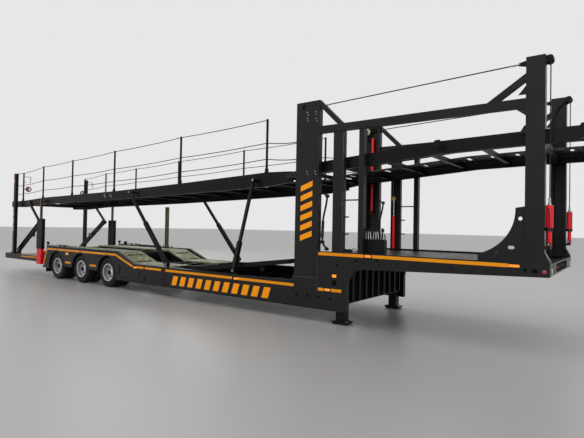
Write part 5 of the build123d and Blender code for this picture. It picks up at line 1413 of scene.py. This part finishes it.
@dataclass
class RearTackle(Assembly):
    """Hand winches, stops, straps and the prop at the trailer's rear."""

    winch: Point = (-7.600, -1.000, 1.262)
    # Start and end of the winch's crank and of its grip
    crank: tuple[Point, ...] = ((0.0, 0.058, 0.0), (0.105, 0.058, -0.045))
    grip: tuple[Point, ...] = ((0.105, 0.045, -0.045), (0.105, 0.100, -0.045))
    drum: Outline = (
        (0.0, -0.026), (0.052, -0.026), (0.052, -0.020), (0.030, -0.018), (0.030, 0.018), (0.052, 0.020),
        (0.052, 0.026), (0.0, 0.026),
    )
    cheek: Outline = ((-0.055, -0.075), (0.065, -0.040), (0.050, 0.050), (0.0, 0.068), (-0.055, 0.030))
    fender_top: float = 0.970
    # X and Z from a strap's middle
    strap: Outline = ((-0.20, 0.003), (-0.08, 0.028), (0.05, 0.022), (0.20, 0.006))
    side_pins: Outline = ((-3.236, 2.454), (-2.948, 2.447), (-3.19, 2.405), (-2.90, 2.402))
    prop_web: float = 0.009
    prop_lip: float = 0.012

    def build(self) -> None:
        """Builds the winches, the stops and the prop."""
        self.winches()
        self.stops()
        self.prop()

    def winches(self) -> None:
        """Builds the small hand winch on the inner face of each lower arm."""
        drum, cheeks = Shape().at(*self.winch), Shape().at(*self.winch)
        drum.lathe(self.drum, sign=1)
        drum.bar(Axis.Y, 0.0, 0.062, 0.010, 12)
        drum.rod(*self.crank, 0.007, 10)
        drum.rod(*self.grip, 0.011, 12)
        for face in (-0.034, 0.034):
            cheeks.plate(self.cheek, face - 0.003, face + 0.003)
        cheeks.box((-0.050, -0.052, -0.072), (0.040, 0.037, -0.060), 0.002)
        self.pair(drum, "winch_drums", "machined steel", "lower_arm_pair")
        self.pair(cheeks, "winch_frames", "black paint", "lower_arm_pair")

    def stops(self) -> None:
        """Builds the wheel stops and straps on the fenders, the left rail, and the rear deck's side pins."""
        stops, straps, rail, pins = Shape(), Shape(), Shape(), Shape()
        stops.at(-6.10, -1.225, self.fender_top).bar(Axis.Z, -0.01, 0.075, 0.018, 14)
        stops.rod((-0.035, 0.0, 0.085), (0.035, 0.0, 0.085), 0.034, 18)
        stops.rod((0.0, 0.0, 0.085), (0.08, 0.02, 0.020), 0.009, 10)
        stops.at(0.0, 0.0, self.fender_top).box((-5.56, -1.240, 0.022), (-4.90, -1.195, 0.048), 0.008)
        for x in (-5.39, -5.14):
            stops.box((x, -1.230, -0.01), (x + 0.07, -1.205, 0.024), 0.003)
        self.pair(stops, "wheel_stops", "black paint")
        for x in (-5.80, -4.66):
            straps.at(x, -1.222, self.fender_top).pipe(
                [(ahead, 0.0, above) for ahead, above in self.strap], 0.0085
            )
        self.pair(straps, "strap_tails", "brown paint")
        rail.at(0.0, 0.0, self.fender_top).box((-4.90, 1.150, -0.01), (-3.78, 1.235, 0.030), 0.006)
        rail.box((-5.78, 1.190, -0.01), (-5.66, 1.245, 0.030), 0.006)
        rail.at(-5.72, 1.215, self.fender_top + 0.065)
        rail.lathe([(0.0, -0.035), (0.045, -0.035), (0.045, 0.035), (0.0, 0.035)], Axis.X, 18, 1)
        rail.place("left_stop_rail", self.palette, "black paint")
        for x, z in self.side_pins:
            pins.at(x, -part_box("rear_deck_frame")[1].y, z).bolt(0.017)
        self.pair(pins, "deck_side_pins", "machined steel", "rear_deck")

    def prop(self) -> None:
        """Builds the left-hand prop as a rolled channel with its foot, in place of its plain solid."""
        low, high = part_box("prop_post")
        prop, feet = Shape(), Shape()
        front, rear, foot = high.x - 0.003, low.x + 0.003, low.z + 0.01
        inner, outer, lip = low.y + 0.008, high.y - 0.002, self.prop_lip
        for x in (rear, front - lip):
            prop.box((x, inner, foot), (x + lip, outer, high.z), 0.002)
        prop.box(
            (rear + lip - 0.001, inner, foot), (front - lip + 0.001, inner + self.prop_web, high.z), 0.001
        )
        prop.box(low, (high.x, high.y, low.z + 0.014), 0.003)
        for z in (low.z + 0.30, (low.z + high.z) / 2, high.z - 0.10):
            prop.box((rear + 0.002, inner + 0.004, z), (front - 0.002, outer - 0.004, z + 0.010), 0.001)
        piece = prop.place("prop_channel", self.palette, "brown paint")
        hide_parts("prop_post")
        for x, height in ((low.x - 0.10, 0.050), (high.x + 0.05, 0.042), (high.x + 0.20, 0.030)):
            feet.at(x, high.y - 0.045, low.z).bar(Axis.Z, -0.004, height, 0.022, 14, 0.016)
            feet.at(x, high.y - 0.045, low.z + height).bolt(0.014, Axis.Z, 1)
        feet.place("prop_lashings", self.palette, "brown paint")


@dataclass
class PlatformTrays(Assembly):
    """Tray sheets in near-black zinc painted as shade, and the tilting platform's lugs and feet."""

    start: Flat = (-0.240, 0.6235)
    end: Flat = (3.080, 1.0235)
    tray_ys: Flat = (-1.034, -0.335)
    rib_pitch: float = 0.166
    # Distance along the tray and height above it
    rib: Outline = ((0.0, 0.0), (0.045, 0.0), (0.055, 0.011), (0.100, 0.011), (0.110, 0.0))
    pivot_x: float = 2.411
    lug: Outline = ((2.350, 0.862), (2.470, 0.876), (2.448, 0.790), (2.410, 0.765), (2.376, 0.786))
    foot: Outline = (
        (2.318, 0.600), (2.500, 0.600), (2.470, 0.655), (2.438, 0.682), (2.384, 0.682), (2.350, 0.655)
    )

    def build(self) -> None:
        """Builds the sheets with their ribs on both trays, then the lugs and feet."""
        run = Vector(self.end) - Vector(self.start)
        along, up = run.normalized(), Vector((-run.y, run.x)).normalized()
        sheet, lug, foot = Shape(), Shape(), Shape()
        section = [*self.rib, (self.rib_pitch, 0.0), (self.rib_pitch, -0.003), (0.0, -0.003)]
        for number in range(int(run.length / self.rib_pitch)):
            first = Vector(self.start) + along * number * self.rib_pitch
            sheet.plate([first + along * ahead + up * above for ahead, above in section], *self.tray_ys)
        # Trays in near-black zinc: painted shade under the rear deck
        self.pair(sheet, "platform_trays", "dark zinc lane", "platform")
        lug.plate(self.lug, -1.094, -1.066)
        lug.at(self.pivot_x, -1.080, 0.802).bar(Axis.Y, -0.032, 0.032, 0.022)
        foot.plate(self.foot, -1.152, -1.134)
        foot.at(self.pivot_x, -1.146, 0.648).bar(Axis.Y, -0.016, 0.016, 0.018)
        self.pair(lug, "platform_lugs", "black paint", "platform")
        self.pair(foot, "platform_feet", "black paint")


@dataclass
class DeckUndersides(Assembly):
    """Pressed ribs under the upper lanes, and the splice plates of the front deck's beams."""

    rib_pitch: float = 0.085
    rib_width: float = 0.026
    rib_depth: float = 0.011
    rib_ys: Flat = (-0.945, -0.345)
    probe_y: float = -0.645
    splice: Outline = (
        (5.870, 2.915), (6.010, 2.925), (6.010, 3.040), (5.925, 3.036), (5.900, 2.992), (5.870, 2.988)
    )
    splice_bolts: Outline = ((5.900, 2.950), (5.985, 2.950), (5.980, 3.010))

    def build(self) -> None:
        """Builds the ribs, each seated where a probe from below meets the lane, then the splices."""
        bpy.context.view_layer.update()
        half = self.rib_width / 2
        for deck in ("rear_deck", "front_deck"):
            lanes = f"{deck}_lanes"
            low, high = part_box(lanes)
            ribs = Shape()
            for number in range(1, int((high.x - low.x) / self.rib_pitch)):
                x = low.x + number * self.rib_pitch
                hit, seat, _, _ = frame["nodes"][lanes].ray_cast((x, self.probe_y, 0.0), Axis.Z.value)
                if hit:
                    ribs.at(x, 0.0, seat.z)
                    ribs.box((-half, self.rib_ys[0], -self.rib_depth), (half, self.rib_ys[1], 0.001))
            # Ribs in dark zinc with golden patches: painted shade and painted glints
            self.pair(ribs, f"{lanes}_ribs", "lane underside", deck)
        plates, face = Shape(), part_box("front_deck_frame")[0].y
        plates.plate(self.splice, face - 0.006, face + 0.0005)
        for x, z in self.splice_bolts:
            plates.at(x, face - 0.006, z).bolt(0.012)
        self.pair(plates, "beam_splices", "black paint", "front_deck")


@dataclass
class StrutPerforations(Assembly):
    """Bushed holes along the pinned struts."""

    foot: Flat = (1.753, 0.760)
    head: Flat = (2.252, 2.602)
    first_hole: float = 0.680
    pitch: float = 0.140 / 3
    marks_per_hole: int = 3
    bush: Flat = (0.0145, 0.0205)
    # Name, body, Y of the face, first and last mark
    rows: tuple[tuple[str, str, float, int, int], ...] = (
        ("sleeve", "pin_strut_pair", -1.262, -13, -2), ("bar", "pin_bar_pair", -1.248, 0, 25),
    )

    def build(self) -> None:
        """Builds the rings of the sleeve and the bar, with near-black discs painted as the shade inside the
        rings between the holes.
        """
        along = (Vector(self.head) - Vector(self.foot)).normalized()
        inner, outer = self.bush
        ring = [(inner, -0.001), (outer, -0.001), (outer, 0.0015), (inner, 0.0025)]
        # Near-black disc inside a ring: painted shade of the hole's inside
        centre = [(0.0, -0.001), (inner, -0.001), (inner, 0.0008), (0.0, 0.0008)]
        for label, body, face, first, last in self.rows:
            rings, hole_shades = Shape(), Shape()
            for number in range(first, last):
                x, z = Vector(self.foot) + along * (self.first_hole + number * self.pitch)
                rings.at(x, face, z).lathe(ring, steps=14)
                if label == "sleeve" or number % self.marks_per_hole:
                    hole_shades.at(x, face, z).lathe(centre, steps=14)
            self.pair(rings, f"{label}_bushes", "rusty steel", body)
            self.pair(hole_shades, f"{label}_bush_centres", "dark recess", body)


@dataclass
class FrontEnd(Assembly):
    """Couplings, lamps and plugs at the gooseneck's front."""

    # X, Z and radius, then share of the radius and distance from the face
    plugs: tuple[Point, ...] = ((7.179, 1.159, 0.0235), (7.298, 1.151, 0.0315))
    plug: Outline = ((0.0, 0.0), (1.0, 0.0), (1.0, 0.004), (0.8, 0.0055), (0.7, 0.002), (0.0, 0.002))
    side_lamp: Outline = ((0.0, 0.0), (0.026, 0.0), (0.026, 0.003), (0.020, 0.0055), (0.0, 0.0058))
    lamp_z: Flat = (1.105, 1.185)
    air_ys: tuple[float, ...] = (-0.40, -0.26, 0.26, 0.40)
    electric_ys: Flat = (-0.10, 0.05)
    electric: Outline = ((0.0, 0.0), (0.036, 0.0), (0.036, 0.028), (0.032, 0.034), (0.0, 0.036))

    def build(self) -> None:
        """Builds the plugs and lamps, then the air and electric couplings in the cross beam's recess."""
        face, (low, high) = self.plate_face + SINK, self.lamp_z
        plugs, red, white = Shape(), Shape(), Shape()
        # The plugs are near-black: dark rubber with painted shade in their hollow faces
        for x, z, radius in self.plugs:
            plugs.at(x, face, z).lathe(scaled(self.plug, radius))
        self.pair(plugs, "nose_plugs", "dark recess")
        red.at(7.410, face, 1.148).lathe(self.side_lamp)
        for lamp, outer, inner in ((red, -1.170, -1.105), (white, -1.098, -1.050)):
            lamp.at(self.layout.nose_x, 0.0, 0.0).box((-0.002, outer, low), (0.006, inner, high), 0.0025)
        self.pair(red, "nose_red_lamps", "red lens")
        self.pair(white, "nose_white_lamps", "white paint")
        bottom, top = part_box("front_cross_beam")
        x, z = top.x - 0.060, (bottom.z + top.z) / 2
        heads, seals, caps = Shape(), Shape(), Shape()
        for number, y in enumerate(self.air_ys):
            heads.at(x, y, z).bar(Axis.X, 0.0, 0.030, 0.026, 18)
            heads.box((0.010, -0.032, -0.032), (0.034, 0.032, 0.032), 0.006)
            heads.pipe([(0.02, 0.0, 0.03), (0.045, 0.0, 0.05), (0.052, 0.0, 0.01)], 0.007)
            (seals if number % 2 else caps).at(x, y, z).bar(Axis.X, 0.034, 0.044, 0.020, 18, 0.017)
        for y in self.electric_ys:
            heads.at(x, y, z).lathe(self.electric, Axis.X, 22, 1)
            heads.box((0.028, -0.016, 0.030), (0.042, 0.016, 0.044), 0.003)
        heads.place("coupling_heads", self.palette, "soft rubber")
        seals.place("coupling_red_faces", self.palette, "red paint")
        caps.place("coupling_yellow_faces", self.palette, "yellow cap")


@dataclass
class Underbody(Assembly):
    """Brake chambers, air tanks, pipes and the landing gear's crank."""

    chamber_radius: float = 0.078
    chamber_place: Point = (0.10, -0.300, 0.075)
    tank_radius: float = 0.105
    tank_place: Point = (-2.40, -0.16, 0.500)
    # Share of the radius and distance along the axis
    chamber: Outline = (
        (0.0, 0.0), (0.9, 0.006), (1.0, 0.022), (1.0, 0.070), (1.08, 0.074), (1.08, 0.084), (1.0, 0.088),
        (1.0, 0.150), (0.85, 0.172), (0.0, 0.180),
    )
    clamp: Outline = ((1.06, 0.071), (1.13, 0.073), (1.13, 0.085), (1.06, 0.087))
    tank: Outline = (
        (0.0, 0.0), (0.6, 0.012), (0.9, 0.036), (1.0, 0.070), (1.0, 0.63), (0.9, 0.664), (0.6, 0.688),
        (0.0, 0.70),
    )
    # X, Y and Z from the chamber's end
    line: tuple[Point, ...] = ((0.17, 0.0, 0.03), (0.23, 0.05, 0.07), (0.23, 0.17, 0.12), (0.10, 0.26, 0.15))
    main_line: tuple[Point, ...] = ((-5.30, -0.04, 0.612), (-4.0, -0.04, 0.612), (-2.45, -0.04, 0.612))
    leg_x: float = 4.256
    leg_y: float = 1.08
    foot_top: float = 0.0535

    def build(self) -> None:
        """Builds the brake chambers with their lines, the tanks, the crank and the legs' foot bolts."""
        chambers, bands, pipes, tanks, crank, feet = (Shape() for _ in range(6))
        ahead, y, above = self.chamber_place
        for axle_x in self.layout.axle_xs:
            place = (axle_x + ahead, y, self.layout.wheel_z + above)
            chambers.at(*place).lathe(scaled(self.chamber, self.chamber_radius), Axis.X, sign=1)
            chambers.rod((-0.08, 0.0, -0.02), (0.01, 0.0, 0.0), 0.012, 12)
            bands.at(*place).lathe(scaled(self.clamp, self.chamber_radius), Axis.X, sign=1)
            pipes.at(*place).pipe(self.line, 0.008)
        pipes.at(0.0, 0.0, 0.0).pipe(self.main_line, 0.010)
        self.pair(chambers, "brake_chambers", "black paint")
        self.pair(bands, "brake_clamps", "machined steel")
        self.pair(pipes, "brake_lines", "soft rubber")
        tanks.at(*self.tank_place).lathe(scaled(self.tank, self.tank_radius), Axis.X, 28, 1)
        self.pair(tanks, "air_tanks", "black paint")
        crank.at(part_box("landing_legs")[0].x + 0.17, -1.170, 0.86).bar(Axis.Y, 0.02, -0.035, 0.014, 14)
        crank.rod((0.0, -0.030, 0.0), (0.02, -0.034, -0.24), 0.009, 12)
        crank.rod((0.02, -0.034, -0.235), (0.02, -0.085, -0.235), 0.012, 12)
        crank.place("leg_crank", self.palette, "black paint")
        for x in (self.leg_x - 0.13, self.leg_x + 0.13):
            for y in (-self.leg_y - 0.075, -self.leg_y + 0.075, self.leg_y - 0.075, self.leg_y + 0.075):
                feet.at(x, y, self.foot_top).bolt(0.012, Axis.Z, 1)
        feet.place("leg_foot_bolts", self.palette, "machined steel")


@dataclass
class Studio:
    """Plain pale floor, soft light and the camera at the photograph's view."""

    camera_place: Point = (8.3372, -8.1177, 1.6847)
    # Degrees
    yaw: float = 36.552
    pitch: float = 0.964
    roll: float = 1.075
    focal_pixels: float = 459.026
    image_width: int = 584
    sensor_width: float = 36.0
    sight: float = 400.0
    floor_half: float = 150.0
    floor_grey: Colour = (0.30, 0.295, 0.29)
    floor_roughness: float = 0.36
    backdrop_level: float = 0.80
    surround_level: float = 0.85
    # Name, place, target, width, height and watts
    lamps: tuple[tuple[str, Point, Point, float, float, float], ...] = (
        ("overhead", (1.0, -3.0, 14.0), (0.0, 0.0, 0.0), 26.0, 16.0, 1200.0),
        ("front_fill", (14.0, -18.0, 7.0), (1.0, 0.0, 1.5), 12.0, 8.0, 900.0),
        ("rear_fill", (-16.0, 10.0, 8.0), (-2.0, 0.0, 1.5), 10.0, 8.0, 400.0),
    )

    def build(self) -> None:
        """Builds the floor, world, lamps and camera."""
        self.floor()
        self.world()
        for name, place, target, width, height, power in self.lamps:
            data = bpy.data.lights.new(name, "AREA")
            data.shape = "RECTANGLE"
            data.size, data.size_y, data.energy = width, height, power
            lamp = bpy.data.objects.new(name, data)
            lamp.location = place
            lamp.rotation_euler = (Vector(target) - Vector(place)).to_track_quat("-Z", "Y").to_euler()
            bpy.context.scene.collection.objects.link(lamp)
        self.camera()

    def floor(self) -> None:
        """Lays the pale floor that keeps the trailer's shadow."""
        mesh = bmesh.new()
        bmesh.ops.create_grid(mesh, x_segments=1, y_segments=1, size=self.floor_half)
        data = bpy.data.meshes.new("floor")
        mesh.to_mesh(data)
        mesh.free()
        floor = bpy.data.objects.new("floor", data)
        bpy.context.scene.collection.objects.link(floor)
        material = bpy.data.materials.new("smooth floor")
        material.use_nodes = True
        shader = material.node_tree.nodes["Principled BSDF"]
        shader.inputs["Base Color"].default_value = (*self.floor_grey, 1.0)
        shader.inputs["Roughness"].default_value = self.floor_roughness
        floor.data.materials.append(material)
        floor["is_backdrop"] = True

    def world(self) -> None:
        """Sets an even pale surround, with one level for what is seen and one for the light it gives."""
        world = bpy.data.worlds.new("pale surround")
        bpy.context.scene.world = world
        world.use_nodes = True
        nodes = Wiring(world.node_tree)
        rays = nodes.add("ShaderNodeLightPath").outputs
        seen = nodes.maths("MAXIMUM", rays["Is Camera Ray"], rays["Is Glossy Ray"])
        seen = nodes.maths("MAXIMUM", seen, rays["Is Transmission Ray"])
        background = world.node_tree.nodes["Background"]
        background.inputs[0].default_value = (1.0, 1.0, 1.0, 1.0)
        level = nodes.span(seen, 0.0, 1.0, self.surround_level, self.backdrop_level)
        world.node_tree.links.new(level, background.inputs[1])

    def camera(self) -> None:
        """Puts the camera where the photograph was taken from."""
        yaw, pitch, roll = (math.radians(value) for value in (self.yaw, self.pitch, self.roll))
        ahead = Vector((-math.sin(yaw) * math.cos(pitch), math.cos(yaw) * math.cos(pitch), math.sin(pitch)))
        right = Vector((math.cos(yaw), math.sin(yaw), 0.0))
        up = right.cross(ahead)
        turned_right = math.cos(roll) * right + math.sin(roll) * up
        turned_up = math.cos(roll) * up - math.sin(roll) * right
        data = bpy.data.cameras.new("photo view")
        data.sensor_width = self.sensor_width
        data.sensor_fit = "HORIZONTAL"
        data.lens = self.focal_pixels / self.image_width * self.sensor_width
        data.clip_end = self.sight
        camera = bpy.data.objects.new("photo view", data)
        rotation = Matrix((turned_right, turned_up, -ahead)).transposed()
        camera.matrix_world = Matrix.Translation(self.camera_place) @ rotation.to_4x4()
        bpy.context.scene.collection.objects.link(camera)
        bpy.context.scene.camera = camera


SIDES = [side.word for side in Side]
PAINTED_PAIRS = ("side_frame", "mid_pillar", "front_pillar", "top_rail")

# CAD nodes by their finish; all others are black
NODE_FINISHES = {
    "charcoal paint": [
        *[f"{part}_{side}" for part in PAINTED_PAIRS for side in SIDES],
        "front_cross_beam", "rear_extension",
    ],
    "machined steel": ["kingpin", "post_ram_rods"],
    "oiled rod": ["lift_rods"],
    "galvanised lane": ["fixed_lanes"],
    # Upper lanes in near-black zinc: painted shade of the decks seen from below
    "dark zinc lane": ["rear_deck_lanes", "front_deck_lanes"],
    "red paint": ["lift_rams"],
    "soft rubber": ["air_springs", "mudflaps"],
    "lamp lens": ["marker_lamps"],
    "brown paint": ["prop_post"],
    "silver wheel paint": [f"rims_{number}_{side}" for number in (1, 2, 3) for side in SIDES],
}

ASSEMBLIES = [
    TwinWheels, SkirtMarkings, SkirtFittings, DeckHandrails, TopRigging, MidPillarGear, GooseneckGear,
    RearMarks, RearTackle, PlatformTrays, DeckUndersides, StrutPerforations, FrontEnd, Underbody,
]


def dress_nodes(palette: Palette) -> None:
    """Gives every CAD node its finish.

    Args:
        palette: The materials.
    """
    chosen = {node: finish for finish, nodes in NODE_FINISHES.items() for node in nodes}
    for name, node in frame["nodes"].items():
        finish = chosen.get(name, "black paint")
        palette.dress(node, finish)
        log.info("%s: %s", name, finish)


def main() -> None:
    """Builds the scene piece by piece."""
    logging.basicConfig(level=logging.INFO, format="%(name)s: %(message)s")
    palette = Palette(Effects())
    layout = Layout.from_frame()
    dress_nodes(palette)
    for assembly in ASSEMBLIES:
        assembly(layout, palette).build()
    Studio().build()
    bpy.context.scene.view_settings.view_transform = "Standard"


if __name__ == "__main__":
    main()
